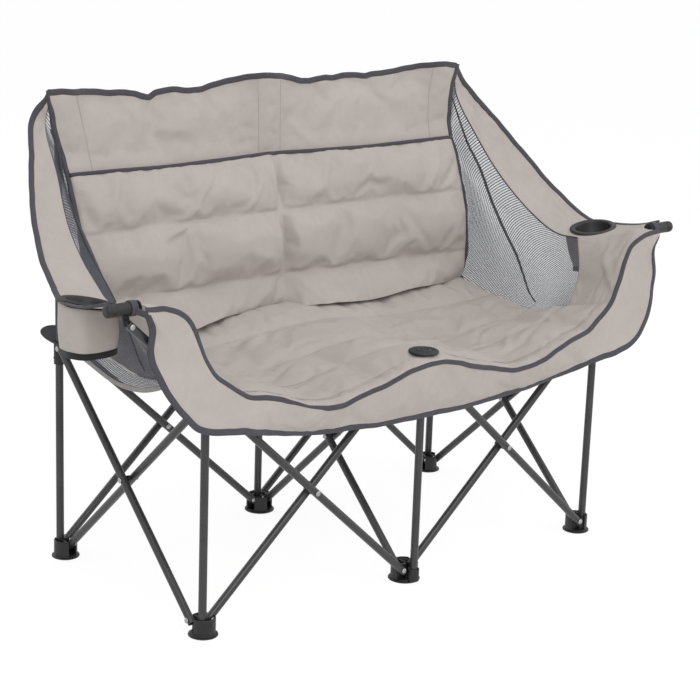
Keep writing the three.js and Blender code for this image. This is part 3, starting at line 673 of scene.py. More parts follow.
def joined(mesh, capped=False):
    """Joins doubled vertices, caps the open ends if asked, and turns the faces outward."""
    with reshaped(mesh) as build:
        bmesh.ops.remove_doubles(build, verts=build.verts, dist=0.00002)
        if capped:
            open_edges = [edge for edge in build.edges if edge.is_boundary]
            bmesh.ops.holes_fill(build, edges=open_edges, sides=0)
        bmesh.ops.recalc_face_normals(build, faces=build.faces)


def evenly(places, spacing, *others):
    """Places along a line at an even spacing, with what goes with each of them."""
    along = distances_along(places)
    wanted = np.linspace(0, along[-1], max(2, round(along[-1] / spacing)) + 1)
    found = [at_distances(values, along, wanted) for values in (places, *others)]
    return found if others else found[0]


def edge_of(surface, edge, inset=0.0, steps=160):
    """Places along one edge of a surface, and the way from each of them into the cloth."""
    direction, end = edge
    order = 1 if direction == "v" else -1
    share = np.linspace(0, 1, steps)
    places, inner = (
        surface(*(share, np.full(steps, float(fixed)))[::order])
        for fixed in (end, 0.03 if end < 0.5 else 0.97)
    )
    inward = unit(inner - places)
    return places + inward * inset, inward


STITCH_PITCH = 4.5


def stitched(name, surface, u, v, lift=0.6):
    """A row of stitches along a line of a surface: short threads that sit on the cloth."""
    u, v = paired(u, v)
    at, up = evenly(surface(u, v), STITCH_PITCH, normal_at(surface, u, v))
    way, up = unit(np.gradient(at, axis=0)), unit(up)
    side = np.cross(up, way)
    build = bmesh.new()
    bmesh.ops.create_icosphere(build, subdivisions=1, radius=1)
    single = mesh_of(build, "thread")
    shape = read_places(single) * (STITCH_PITCH * 0.4, 0.5, 0.5)
    build = bmesh.new()
    for _ in at:
        build.from_mesh(single)
    bpy.data.meshes.remove(single)
    mesh = mesh_of(build, name)
    long, wide, high = (shape[None, :, column, None] for column in range(3))
    spots = at[:, None] + way[:, None] * long + side[:, None] * wide + up[:, None] * (high + lift)
    write_places(mesh, cloth_places(spots.reshape(-1, 3)))
    mesh.uv_layers.new(name="UVMap")
    return new_piece(name, mesh, THREAD)


SIDE_AXIS = (0, 0.903, 0.431)


def carry(piece, body, axis=None):
    """Hangs a soft piece on its body, and gives it a mesh of its own when an axis is given."""
    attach(piece, body)
    if axis is not None:
        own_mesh(piece)


def carry_wide(piece, body):
    carry(piece, body, (1, 0, 0))


def carry_wing(piece, side_name):
    anchor = Vector(metres((SIDES[side_name] * 534, 274, 962)))
    carry(piece, f"foot_rear_{side_name}", SIDE_AXIS)


def carry_front(piece, side_name):
    anchor = Vector(metres((SIDES[side_name] * POST_PITCH, -285, 560)))
    carry(piece, f"hub_front_{side_name}", (0, 1, 0))


# The back: a quilted pad, with a band above it that is sleeved over the posts
back_surface = patch(both_halves(BACK_FOOT), both_halves(PAD_TOP), *both_sides(BACK_SIDE))
PAD_LOW = float(places_of(BACK_FOOT)[0, 2])
PAD_HIGH = float(places_of(PAD_TOP)[0, 2])
BACK_GRID = (148, 50)
QUILT_ROWS = tuple(
    round(float(np.interp(height, (PAD_LOW, PAD_HIGH), (0, 1))) * BACK_GRID[1]) / BACK_GRID[1]
    for height in (557, 687)
)
QUILT_LINES = tuple(float(back_surface(0.5, row)[2]) for row in QUILT_ROWS)
BACK_FOLDS = [
    (7, 9, -15, 806, -12, 745, -15, 690), (-11, 6, 4, 806, 2, 745, 1, 690),
    (7, 9, -17, 684, -20, 620, -13, 560), (-11, 6, 1, 684, 2, 620, 1, 560),
    (4, 9, 17, 684, 22, 620, 18, 560), (5, 11, -330, 668, -250, 690, -205, 735, -168, 778),
    (-4, 8, -330, 650, -262, 664, -225, 690), (-4, 9, -235, 705, -190, 745, -150, 790),
    (4, 9, -88, 695, -60, 745, -52, 790), (-3.5, 8, -20, 700, -32, 740, -58, 800),
    (3.5, 13, -480, 700, -430, 740, -400, 790), (3.5, 12, 60, 700, 110, 728, 140, 790),
    (-3, 10, 180, 700, 240, 720, 300, 715), (4, 11, 395, 695, 430, 740, 452, 792),
    (-3.5, 9, 430, 700, 470, 720, 498, 760), (3, 12, -260, 565, -240, 610, -250, 660),
    (3.5, 10, -30, 575, -60, 600, -110, 612), (3, 13, 150, 580, 185, 640, 170, 680),
    (-3, 11, 330, 640, 370, 600, 400, 570), (3, 11, 440, 640, 470, 600, 500, 585),
    (6, 10, -20, 556, -70, 530, -110, 505), (-6, 8, -10, 545, -30, 520, -60, 492),
    (6, 9, 20, 556, 55, 528, 80, 500), (4, 11, 280, 552, 330, 520, 350, 495),
    (6, 10, 380, 555, 430, 528, 480, 500), (-5, 8, 430, 560, 470, 540, 503, 512),
    (5, 9, 400, 520, 450, 500, 500, 490), (4, 12, -420, 545, -380, 520, -330, 505),
]


def back_front(u, v):
    """The front of the back pad: puffed between its seams, and drawn in at the middle crease."""
    places = back_surface(u, v)
    x, z = places[..., 0], places[..., 2]
    edges = np.array([PAD_LOW - 34, *QUILT_LINES, PAD_HIGH + 6])
    row = np.clip(np.searchsorted(edges, z, side="right") - 1, 0, 2)
    share = (z - edges[row]) / (edges[row + 1] - edges[row])
    puff = np.clip(np.sin(np.pi * np.clip(share, 0, 1)), 0, 1) ** 0.42
    sides = np.clip((503 - abs(x)) / 90, 0, 1) ** 0.45
    crease = 1 - 0.93 * np.exp(-((abs(x) / 20) ** 1.1)) * (0.35 + 0.65 * smooth_step(803, 700, z))
    waver = 1 + 0.12 * np.sin(x / 71 + row * 2.1) + 0.08 * np.sin(x / 29 + row)
    out = 3 + 20 * puff * sides * waver * crease
    out -= 7 * np.exp(-((abs(x) / 26) ** 2)) * smooth_step(800, 690, z)
    out += ridges(x, z, BACK_FOLDS) * np.minimum(1, puff * 1.3)
    return raised(back_surface, u, v, places, out)


LIP_REACH = (-505, -440, -370, -282, -215, -150, -78, -30, 0, 22, 70, 126, 240, 365, 440, 505)
LIP_PLACE = (168, 158, 122, 98, 120, 150, 176, 180, 172, 128, 112, 110, 118, 126, 146, 168)


def rolled_front(u, v):
    """Below its last seam the pad rolls forward over the rear of the seat."""
    places = back_front(u, v)
    x, z = places[..., 0], places[..., 2]
    roll = 1 - smooth_step(PAD_LOW - 4, QUILT_LINES[0] - 4, z)
    lip = np.stack([
        x,
        np.interp(x, LIP_REACH, LIP_PLACE),
        PAD_LOW - 2 + 4 * np.sin(x / 43),
    ], -1)
    bulge = np.stack([0 * x, -9 * np.sin(np.pi * roll), 5 * np.sin(np.pi * roll)], -1)
    return places * (1 - roll[..., None]) + lip * roll[..., None] + bulge


def padded_form(name, top, under, cells, size, held, fill, body, node, **settling):
    """A closed pad: its face settles as cloth, and a flatter back closes it."""
    mesh, u, v = grid(name, *cells)
    write_places(mesh, cloth_places(top(u, v)))
    lay_pattern(mesh, u, v, *size)
    piece = new_piece(name, mesh, GREIGE)
    settle(piece, held(u, v, read_places(mesh)), frames=20, bend=0.6, **settling)
    with reshaped(mesh) as build:
        bmesh.ops.extrude_face_region(build, geom=build.faces[:], use_keep_orig=True)
        build.verts.ensure_lookup_table()
        for index, place in enumerate(cloth_places(under(u, v))):
            build.verts[index].co = place
        bmesh.ops.recalc_face_normals(build, faces=build.faces)
    mesh.shade_smooth()
    softened(piece)
    carry_wide(piece, body)
    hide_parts(node)


BACK_SIZE = spans(back_surface)


def back_held(u, v, places):
    seams = [abs(v - row) * BACK_SIZE[1] for row in QUILT_ROWS]
    return held_within(3.3, rim_gap(u, v, *BACK_SIZE), abs(places[:, 0]) / MM, *seams)


def back_behind(u, v):
    return back_surface(u, v) - 2 * normal_at(back_surface, u, v)


padded_form("back_pad_cover", rolled_front, back_behind, BACK_GRID, BACK_SIZE, back_held,
            0.6, "rear_centre", "back_pad", ease=0.035, pressure=1.2, cap=9)

# How far the band's top edge rises above its straight line, by its distance from the middle
SLEEVE_RADIUS = 13
EDGE_REACH = (-534, -500, -460, -420, -380, -345, -320, -304, -288, -272, -250, -215, -180, -157,
              -135, -100, -60, -20, 20, 60, 85, 105, 125, 145, 170, 200, 235, 270, 285, 300, 320,
              360, 400, 440, 470, 500, 534)
EDGE_RISE = (8, 9, 4, 1, -4, -6, -11, -16, -20, -12, -9, -6, -3, -3,
             0, 4, 7, 10, 8, 2, -2, -5, -5, 0, 3, 1, -2, -7, -8, -5, -3,
             -1, 4, 9, 11, 11, 5)
BAND_FOLDS = [
    (-6, 14, -304, 940, -280, 905, -292, 870, -255, 845), (4, 14, -330, 935, -322, 895, -330, 860),
    (4.5, 12, -290, 880, -240, 872, -190, 862), (-5, 12, -157, 938, -140, 912, -120, 895),
    (4, 14, -190, 940, -170, 912, -172, 880), (-5.5, 12, 132, 945, 150, 915, 185, 893),
    (3.5, 14, 115, 940, 110, 900, 96, 870), (-4.5, 10, 293, 945, 300, 915, 325, 895),
    (3.5, 17, 220, 950, 228, 900, 222, 840), (3.5, 22, -430, 940, -410, 890, -420, 830),
    (3, 12, 60, 860, 100, 835, 130, 820), (3, 16, -90, 850, -60, 880, -50, 930),
    (3, 20, 400, 930, 395, 880, 405, 830),
]
band_flat = patch(both_halves(PAD_TOP), both_halves(BAND_TOP), *both_sides(BAND_SIDE))


def band_surface(u, v):
    places = band_flat(u, v)
    x = places[..., 0]
    lift = np.zeros_like(places)
    lift[..., 2] = np.interp(x, EDGE_REACH, EDGE_RISE) * smooth_step(0.35, 1, v)
    out = ridges(x, places[..., 2], BAND_FOLDS)
    places = raised(band_flat, u, v, places + lift, out)
    front = ROW_DEPTH - SLEEVE_RADIUS
    for column in (-1, 0, 1):
        aside = abs(x) - POST_PITCH if column else abs(x)
        aside = np.where(np.sign(x) == np.sign(column), np.maximum(aside, -aside - 4), abs(aside))
        near = np.exp(-((np.maximum(0, aside - 8) / 44) ** 2))
        places[..., 1] -= near * np.maximum(0, places[..., 1] - front)
    return places


CUT_MARGIN = 1.002
MOST_OF_ITS_BOX = 0.999


def sheet_piece(name, finish, surface, cell, thickness=2.2, sim=None, held=None, size=None,
                hem=11):
    """A sheet of cloth laid over a surface, with its seams held while it settles."""
    size = size or spans(surface)
    mesh, u, v = grid(name, *(max(4, round(length / cell)) for length in size))
    write_places(mesh, cloth_places(surface(u, v)))
    lay_pattern(mesh, u, v, *size)
    piece = new_piece(name, mesh, finish)
    if sim:
        firm = held_within(hem, rim_gap(u, v, *size))
        settle(piece, np.maximum(firm, held(u, v)) if held else firm, **sim)
    solid = piece.modifiers.new("thickness", "SOLIDIFY")
    solid.thickness = thickness * MM
    solid.offset = 0
    softened(piece)
    return piece


def declare_sheet(piece, surface, node=None):
    """Hides the node that a sheet stands for, if one is given, and works out the size it was cut
    to, the box of its pattern, and its flat area, which nothing keeps.
    """
    if node:
        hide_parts(node)
    width, length = (extent * MM * CUT_MARGIN for extent in spans(surface))
    area = min(sum(face.area for face in piece.data.polygons), MOST_OF_ITS_BOX * width * length)


BAND_STITCHES = (29, 462)
BAND_WIDTH = 2 * (POST_PITCH + 12)


def band_held(u, v):
    return held_within(4.2, *(abs(abs(u - 0.5) * BAND_WIDTH - reach) for reach in BAND_STITCHES))


band = sheet_piece("back_band_panel", GREIGE, band_surface, 7.5,
                   sim={"ease": 0.014, "cap": 6, "stiffness": 20}, held=band_held)
carry_wide(band, "rear_centre")


def sleeve_surface(column, low):
    """The strip of cloth sewn behind the band, which the top of a rear post stands in."""

    def surface(u, v):
        x = column * POST_PITCH * (1 - 0.004) + (u - 0.5) * 58
        places = band_surface(0.5 + x / (2 * (POST_PITCH + 6 + 15 * v)), low + (0.985 - low) * v)
        aside = places[..., 0] - column * POST_PITCH - corner_pull(places)
        behind = ROW_DEPTH + SLEEVE_RADIUS - places[..., 1]
        near = np.exp(-((aside / 13.5) ** 4)) * (1 - smooth_step(953, 964, places[..., 2]))
        places[..., 1] += 2 + np.maximum(0, behind) * near
        return places

    return surface


for column, column_name, low in ((-1, "left", 0.5), (0, "centre", 0.05), (1, "right", 0.5)):
    surface = sleeve_surface(column, low)
    sleeve = sheet_piece(f"back_sleeve_{column_name}", GREIGE, surface, 6)
    carry_wide(sleeve, "rear_centre")
    declare_sheet(sleeve, surface)
declare_sheet(band, band_surface,
              "back_band")

# The seat: a hammock between the side seams, padded, in a front and a rear half
seat_front_seam = both_halves(TOP_SEAM)
seat_rear_seam = both_halves(SEAT_REAR)
seat_hung = patch(seat_front_seam, seat_rear_seam, *both_sides(SEAT_SIDE))


def seat_surface(u, v):
    u, v = paired(u, v)
    ruled = seat_front_seam.at(u) * (1 - v[..., None]) + seat_rear_seam.at(u) * v[..., None]
    edge = (2 * u - 1) ** 2
    ruled[..., 2] += (seat_hung(u, v)[..., 2] - ruled[..., 2]) * edge
    ruled[..., 2] -= 20 * np.sin(np.pi * v) ** 2 * (1 - edge)
    return ruled


SEAT_FOLDS = [
    (4.5, 12, -330, -215, -235, -190, -120, -205),
    (-4.5, 9, -260, -160, -207, -163, -163, -148, -90, -160),
    (-4, 9, -300, -92, -235, -103, -170, -86), (-4, 9, -250, -70, -226, -48, -150, -42),
    (-4, 9, -150, -30, -87, -19, -20, -35), (4, 14, -340, -60, -280, -10, -210, 20),
    (4, 13, -240, 20, -160, 60, -120, 110), (4.5, 12, -60, -140, -20, -90, 60, -70),
    (4, 11, 60, -150, 130, -110, 210, -120), (-4, 9, 90, -60, 170, -30, 250, -45),
    (4.5, 12, 150, 0, 240, 30, 330, 15), (-4.5, 9, 270, -130, 340, -90, 400, -110),
    (4.5, 11, 300, -200, 350, -160, 440, -150), (-4, 9, 250, -215, 320, -225, 400, -205),
    (-4, 10, 350, -40, 400, 0, 470, 10), (-3.5, 10, 20, 60, 100, 70, 180, 55),
    (4, 14, -440, -120, -400, -60, -410, 10), (4, 13, 440, -200, 470, -140, 475, -70),
    (3.5, 12, -460, -230, -420, -190, -360, -200), (3, 9, 30, -255, 100, -235, 190, -250),
]
SEAT_ROWS = (0.05705, 0.28523, 0.5, 0.76041)
BUTTON_PLACE = (0, -ROW_DEPTH - 21)
SPLIT = 0.5
SEAT_LENGTH = 505
SEAT_WIDENING = 1.007


def seat_top(u, v):
    places = seat_surface(u, v)
    x, y = places[..., 0], places[..., 1]
    puff = np.ones_like(x)
    for line, depth in zip((0, *SEAT_ROWS), (0.8, 0.45, 0.8, 1, 1)):
        puff = puff - depth * np.exp(-((abs(v - line) * SEAT_LENGTH / 15) ** 1.3))
    sides = np.clip(np.minimum(u, 1 - u) / 0.05, 0, 1) ** 0.5
    out = 2.2 + 6 * puff * sides * (1 + 0.2 * np.sin(x / 61 + v * 9))
    out += ridges(x, y, SEAT_FOLDS) * sides * np.clip(puff * 1.4, 0, 1)
    near = 1 - smooth_step(30, 85, np.hypot(x - BUTTON_PLACE[0], y - BUTTON_PLACE[1]))
    out = out * (1 - near) + (3 + 7 * smooth_step(0, 0.05, v)) * near
    places[..., 0] *= SEAT_WIDENING
    return raised(seat_surface, u, v, places, out)


def seat_under(u, v):
    places = seat_surface(u, v) - 2.2 * normal_at(seat_surface, u, v)
    places[..., 0] *= SEAT_WIDENING
    return places


SEAT_SIZE = spans(seat_surface)


def part_of(surface, start, end):
    """The stretch of a surface between two shares along v."""
    return lambda u, v: surface(u, start + (end - start) * v)


def seat_held(start, end):
    def held(u, v, _places):
        seams = [abs(start + (end - start) * v - line) * SEAT_SIZE[1] for line in SEAT_ROWS]
        rim = rim_gap(u, v, SEAT_SIZE[0], SEAT_SIZE[1] * (end - start))
        return held_within(4.2, rim, *seams)

    return held


for half, start, end in (("front", 0.0, SPLIT + 0.002), ("rear", SPLIT - 0.002, 1.0)):
    padded_form(
        f"seat_{half}_cushion", part_of(seat_top, start, end), part_of(seat_under, start, end),
        (150, 44), (SEAT_SIZE[0], SEAT_SIZE[1] * (end - start)), seat_held(start, end),
        0.35, f"seat_{half}", f"seat_{half}", ease=0.03, pressure=0.9, cap=7,
    )

# The apron in front of the seat
apron_flat = between(both_halves(APRON_HEM), both_halves(TOP_SEAM + GUSSET_SEAM[1:]))
APRON_FOLDS = [
    (-6, 12, 8, 470, 45, 440, 75, 405), (-5, 11, 10, 472, 75, 452, 150, 428),
    (6, 18, -6, 470, -20, 430, -22, 390), (5, 9, 30, 460, 100, 450, 170, 440),
    (-5, 12, -230, 440, -300, 432, -380, 452), (5, 14, -200, 425, -290, 412, -350, 430),
    (-4, 14, -240, 400, -180, 385, -150, 365), (4, 14, 170, 420, 230, 405, 290, 385),
    (-3.5, 12, 350, 450, 400, 420, 420, 395), (3.5, 16, -450, 470, -440, 430, -420, 395),
    (-3, 10, 470, 440, 540, 455, 590, 500),
]


def apron_surface(u, v):
    places = apron_flat(u, v)
    places[..., 1] -= 3 * np.sin(np.pi * v) * (1 + np.cos(14 * np.pi * u))
    out = ridges(places[..., 0], places[..., 2], APRON_FOLDS) * np.sin(np.pi * v) ** 0.5
    return raised(apron_flat, u, v, places, out)


# The apron is cut from the canvas that is darkened as painted shade
apron = sheet_piece("apron_panel", SHADED_CANVAS, apron_surface, 7.5,
                    sim={"ease": 0.012, "cap": 6, "gravity": 0.2}, hem=16)
carry_wide(apron, "hub_front_centre")
declare_sheet(apron, apron_surface,
              "apron")

# The sides: wings and arms from one strip of cloth, gussets, and mesh panels
GUSSET_FOLDS = [
    (4.5, 12, -150, 520, -180, 560, -230, 600), (-4, 10, -175, 510, -215, 545, -255, 590),
    (4, 11, -200, 620, -230, 590, -262, 560),
]
MESH_SLACK = {-1: 26, 1: 8}
MESH_SAG = 26


def side_surfaces(side):
    """The strip of wing and arm, the share where the arm starts, the mesh and the gusset."""
    band_edge = band_surface(1.0, np.linspace(0.12, 0.88, 8))
    wing_inner = np.vstack([band_edge[-1], places_of(WING_INNER[1:])])
    inner = on_side(np.vstack([wing_inner, ARM_INNER]), side)
    wing_outer = np.vstack([band_surface(1.0, 1.0), places_of(WING_OUTER[1:])])
    strip = between(inner, on_side(np.vstack([wing_outer, ARM_OUTER]), side))
    arm_start = float(np.interp(ARM_INNER[0, 1], inner.places[::-1, 1],
                                inner.along[::-1] / inner.length))
    low = places_of(SEAT_SIDE[:0:-1]) + (3, 0, -17)
    low[:, 2] -= MESH_SAG * smooth_step(-165, 60, low[:, 1])
    top = np.vstack([wing_inner, ARM_INNER[:2]])
    back = np.vstack([places_of(BACK_SIDE[1:]), band_edge[:-1]]) + (1, 0, 0)
    front = np.vstack([low[-1], places_of(MESH_FRONT[1:2]), ARM_INNER[1]])
    mesh_patch = patch(*(
        on_side(line, side) for line in (low, top, np.vstack([low[0], back, top[0]]), front)
    ))

    def mesh_surface(u, v):
        places = mesh_patch(u, v)
        places[..., 0] -= side * MESH_SLACK[side] * np.sin(np.pi * u) * np.sin(np.pi * v)
        return places

    gusset = patch(*(on_side(line, side) for line in (
        np.vstack([low[-1], places_of(SEAT_SIDE[:1]) - (0, 0, 2)]),
        np.vstack([ARM_INNER[1:], places_of([GUSSET_MIDDLE, GUSSET_SEAM[-1]])]),
        front, places_of(GUSSET_SEAM),
    )))

    def gusset_surface(u, v):
        places = gusset(u, v)
        out = ridges(places[..., 1], places[..., 2], GUSSET_FOLDS) * side * np.sin(np.pi * v)
        return raised(gusset, u, v, places, out)

    return strip, arm_start, mesh_surface, gusset_surface


def stretch_of(surface, start, end):
    """The stretch of a surface between two shares along u."""
    return lambda u, v: surface(start + (end - start) * u, v)


HALF_CELL = 0.0028


def cup_hole(piece, side):
    """Cuts the round hole that the cup holder sits in."""
    centre = Vector(metres((side * CUP_REACH, CUP_DEPTH_PLACE, ARM_PIN_HEIGHT)))
    radius = CUP_HOLE_RADIUS * MM
    with reshaped(piece.data) as build:
        gone = []
        for vertex in build.verts:
            away = (vertex.co - centre).to_2d()
            if away.length < radius - HALF_CELL:
                gone.append(vertex)
            elif away.length < radius + HALF_CELL:
                placed = away.normalized() * radius
                vertex.co.x = centre.x + placed.x
                vertex.co.y = centre.y + placed.y
        bmesh.ops.delete(build, geom=gone, context="VERTS")


SIDE_SIM = {"ease": 0.018, "cap": 5}
SIDE_SHAPES = {side_name: side_surfaces(side) for side_name, side in SIDES.items()}
for side_name, side in SIDES.items():
    strip, arm_start, mesh_surface, gusset_surface = SIDE_SHAPES[side_name]
    wing_part = stretch_of(strip, 0, arm_start + 0.004)
    arm_part = stretch_of(strip, arm_start, 1)
    wing = sheet_piece(f"wing_panel_{side_name}", GREIGE, wing_part, 6.5, sim=SIDE_SIM, hem=17)
    cup_hole(wing, side)
    carry_wing(wing, side_name)
    declare_sheet(wing, wing_part, f"wing_{side_name}")
    arm = sheet_piece(f"arm_panel_{side_name}", GREIGE, arm_part, 5)
    cup_hole(arm, side)
    carry_front(arm, side_name)
    declare_sheet(arm, arm_part, f"arm_{side_name}")
    net = sheet_piece(f"mesh_panel_{side_name}", NETTING, mesh_surface, 9, thickness=0.7)
    carry_wing(net, side_name)
    declare_sheet(net, mesh_surface, f"mesh_{side_name}")
    gusset = sheet_piece(f"gusset_panel_{side_name}", GREIGE, gusset_surface, 7, sim=SIDE_SIM)
    carry_front(gusset, side_name)
    declare_sheet(gusset, gusset_surface,
                  f"gusset_{side_name}")


# Edge tape along the rim
TAPE_STEP = 5
TAPE_SMOOTHING = 6


def smoothed(vectors):
    """Vectors along a line, each averaged with those near it."""
    weights = np.hanning(2 * TAPE_SMOOTHING + 1)
    weights /= weights.sum()
    padded = np.pad(vectors, ((TAPE_SMOOTHING, TAPE_SMOOTHING), (0, 0)), mode="edge")
    return np.stack([np.convolve(column, weights, "valid") for column in padded.T], -1)


def taped(name, *edges, half_width=6.4, half_depth=2.5, wobble=0.5, inset=4.0):
    """Tape folded over the edges of the cloth, one run after another."""
    places, inward = (np.vstack(runs) for runs in zip(*edges))
    places, inward = evenly(places, TAPE_STEP, inward)
    inward = unit(smoothed(inward))
    along = np.arange(len(places)) * TAPE_STEP
    sway = wobble * (np.sin(along / 17) + 0.6 * np.sin(along / 7.3))
    centres = places + inward * (inset + sway)[:, None]
    return swept(name, TAPE, centres, inward, half_width, half_depth)


def one_place(place, way):
    """A single place where a tape ends, in the form that edge_of gives."""
    return np.array([place]), np.array([way])


for side_name, side in SIDES.items():
    strip, arm_start, _, _ = SIDE_SHAPES[side_name]
    carry_wing(taped(f"rim_tape_wing_{side_name}",
                     edge_of(stretch_of(strip, 0, arm_start), ("v", 1))), side_name)
    carry_front(taped(f"rim_tape_arm_{side_name}",
                      edge_of(stretch_of(strip, arm_start, 1), ("v", 1))), side_name)
    end = (side + 1) / 2
    side_tape = taped(
        f"back_side_tape_{side_name}", one_place((side * 507, 164, 479), (-side, 0, 0)),
        edge_of(back_surface, ("u", end)), edge_of(band_surface, ("u", end)),
        half_width=5.6, half_depth=3.2, wobble=1.1, inset=-2.6,
    )
    carry_wide(side_tape, "rear_centre")

carry_wide(taped("rim_tape_band", edge_of(band_surface, ("v", 1), steps=400)), "rear_centre")
left_grip, right_grip = (
    one_place((side * (GRIP_REACH - 36), -ROW_DEPTH - 11, GRIP_HEIGHT - 6), (0, 0, 1))
    for side in (-1, 1)
)
hem_edge = edge_of(apron_surface, ("v", 0), steps=500)
carry_wide(taped("apron_hem_tape", left_grip, hem_edge, right_grip), "hub_front_centre")
top_edge = edge_of(apron_surface, ("v", 1), steps=500)
carry_wide(taped("apron_top_tape", top_edge, half_width=5.2, half_depth=2.2, inset=2.6),
           "hub_front_centre")

share = np.linspace(0, 1, 300)
sag = 7 * abs(np.sin(2 * np.pi * share)) ** 1.2
line = back_front(share, 1 - (sag + 1) / BACK_SIZE[1])
line = evenly(line + 1.2 * normal_at(back_surface, share, 1 + 0 * share), 5)
carry_wide(swept("pad_top_piping", TAPE, line, (0, 0, 1), 4.2, 3.0, squareness=0.8),
           "rear_centre")


# Seams, piping and stitches
def piped(name, places, radius=1.6, finish=TAPE):
    """Thin round piping along a seam."""
    line = evenly(places, 6)
    return swept(name, finish, line, (0.3, 0.2, 1), radius, radius, sides=8, squareness=1)


# Shares across and along the mesh panel where its fold runs, which a strip of painted shade follows
FOLD_SHADE_LINE = [(0.04, 0.93), (0.25, 0.9), (0.36, 0.87), (0.45, 0.75), (0.51, 0.59), (0.56, 0.5),
          (0.6, 0.38), (0.65, 0.25), (0.71, 0.17)]
across = np.linspace(0.004, 0.996, 220)
for number, share in enumerate(QUILT_ROWS):
    row = stitched(f"back_quilt_stitches_{number}", rolled_front, across, share)
    carry_wide(row, "rear_centre")
for number, shift in enumerate((-3, 3)):
    row = stitched(f"seat_front_stitches_{number}", seat_top, across,
                   SEAT_ROWS[0] + shift / SEAT_LENGTH, lift=0.3)
    carry_wide(row, "seat_front")
for number, (half, line) in enumerate((("front", SEAT_ROWS[1]), ("rear", SEAT_ROWS[3]))):
    row = stitched(f"seat_quilt_stitches_{number}", seat_top, across, line, lift=0.3)
    carry_wide(row, f"seat_{half}")
for side_name, side in SIDES.items():
    for number, aside in enumerate(BAND_STITCHES):
        row = stitched(f"band_stitches_{side_name}_{number}", band_surface,
                       0.5 + side * aside / BAND_WIDTH, np.linspace(0.02, 0.97, 60), lift=1.2)
        carry_wide(row, "rear_centre")
    mesh_surface = SIDE_SHAPES[side_name][2]
    carry_wing(piped(f"wing_seam_piping_{side_name}", edge_of(mesh_surface, ("v", 1))[0]),
               side_name)
    carry_front(piped(f"gusset_seam_{side_name}", edge_of(mesh_surface, ("u", 1))[0], 1.0, THREAD),
                side_name)
    # A raised strip in the edge tape's dark colour marks the mesh's fold. Its darkness is painted
    # shade for the fold, and it is widest at its middle
    places = evenly(Seam([mesh_surface(u, v) for u, v in FOLD_SHADE_LINE]).places, 5)
    shade_width = 1 + 2.8 * np.sin(np.pi * np.linspace(0, 1, len(places))) ** 0.7
    crease = swept(f"mesh_fold_shade_{side_name}", TAPE, places, (0, 1, 0), shade_width, 1.5, sides=10)
    carry_wing(crease, side_name)
    hem = evenly(edge_of(mesh_surface, ("v", 0), inset=4)[0], 6)
    carry_wing(swept(f"mesh_hem_{side_name}", HEM, hem, (0, 0, 1), 5, 1.1), side_name)


# Pull tabs behind the outer rear posts, folded from doubled mesh
def tab_surface(side):
    def surface(u, v):
        angle = np.pi * (np.asarray(v, float) - 0.5)
        reach = 6 + 33 * abs(np.cos(angle)) ** 1.3 * u
        return np.stack([side * (POST_PITCH + 0.62 * reach), ROW_DEPTH + 0.78 * reach,
                         473 + 20 * np.sin(angle) + 5 * u * np.cos(angle)], -1)

    return surface


for side_name, side in SIDES.items():
    tab = sheet_piece(f"rear_tab_{side_name}", TAPE, tab_surface(side), 5, thickness=2.6)
    carry(tab, f"foot_rear_{side_name}")
    declare_sheet(tab, tab_surface(side))

# The pouches under the cup holders
POUCH_HALF_LENGTH = 52
POUCH_LOW = 536
POUCH_MIDDLE = CUP_DEPTH_PLACE + 8


def pouch_surface(side):
    """A bag lofted from the middle of its floor, out to its bottom edge and up to the arm."""

    def surface(u, v):
        u, v = paired(u, v)
        angle = 2 * np.pi * u
        long, wide = squared(np.sin(angle), 0.6), squared(np.cos(angle), 0.6)
        y = POUCH_MIDDLE + POUCH_HALF_LENGTH * long
        low = plan_reach(ARM_INNER_PLAN, y) + 3 + 23 * smooth_step(-135, -65, y)
        high = plan_reach(ARM_OUTER_PLAN, y) - 3
        x = (low + high) / 2 + (high - low) / 2 * wide
        floor_share = smooth_step(0, 0.25, v)
        wall = np.clip((v - 0.25) / 0.75, 0, 1)
        tuck = smooth_step(-135, -65, y) * smooth_step(30, -30, x - CUP_REACH) * (1 - wall)
        x = x + 10 * tuck
        y = y - 24 * tuck
        belly = 3 * np.sin(np.pi * wall) + 9 * np.sin(5 * angle + 1) * wall * (1 - wall) ** 1.5
        middle = np.stack([0 * x + CUP_REACH, 0 * y + POUCH_MIDDLE, 0 * y], -1)
        edge = np.stack([x, y, 0 * y], -1)
        places = middle + (edge - middle) * (0.02 + 0.98 * floor_share)[..., None]
        places += unit(edge - middle) * (belly - 3 * (1 - wall) * floor_share)[..., None]
        top = arm_height(x, y) - 4.5
        sag = 5 * (1 - floor_share) - 3 * abs(np.cos(angle)) * (1 - wall) * floor_share
        sag += 7 * smooth_step(-130, -40, y) * (1 - wall)
        places[..., 2] = POUCH_LOW + 4 + (top - POUCH_LOW - 4) * wall - sag
        return places * (side, 1, 1)

    return surface


around = np.linspace(0, 1, 90)
for side_name, side in SIDES.items():
    surface = pouch_surface(side)
    bag = sheet_piece(f"pouch_bag_{side_name}", GREIGE, surface, 7, size=(400, 130))
    joined(bag.data)
    carry_front(bag, side_name)
    declare_sheet(bag, surface, f"pouch_{side_name}")
    line = surface(around, 0.31)
    out = unit(line - surface(around, 0.6).mean(0)) * (1, 1, 0)
    line = evenly(line + out * 1.2 + (0, 0, -3), 4)
    carry_front(swept(f"pouch_band_{side_name}", WEBBING, line, (0, 0, 1), 6.5, 1.3), side_name)
    seam = surface(0.5 - side * 0.08 + 0 * around, 0.25 + 0.74 * around)
    carry_front(piped(f"pouch_seam_{side_name}", seam, 0.9, THREAD), side_name)


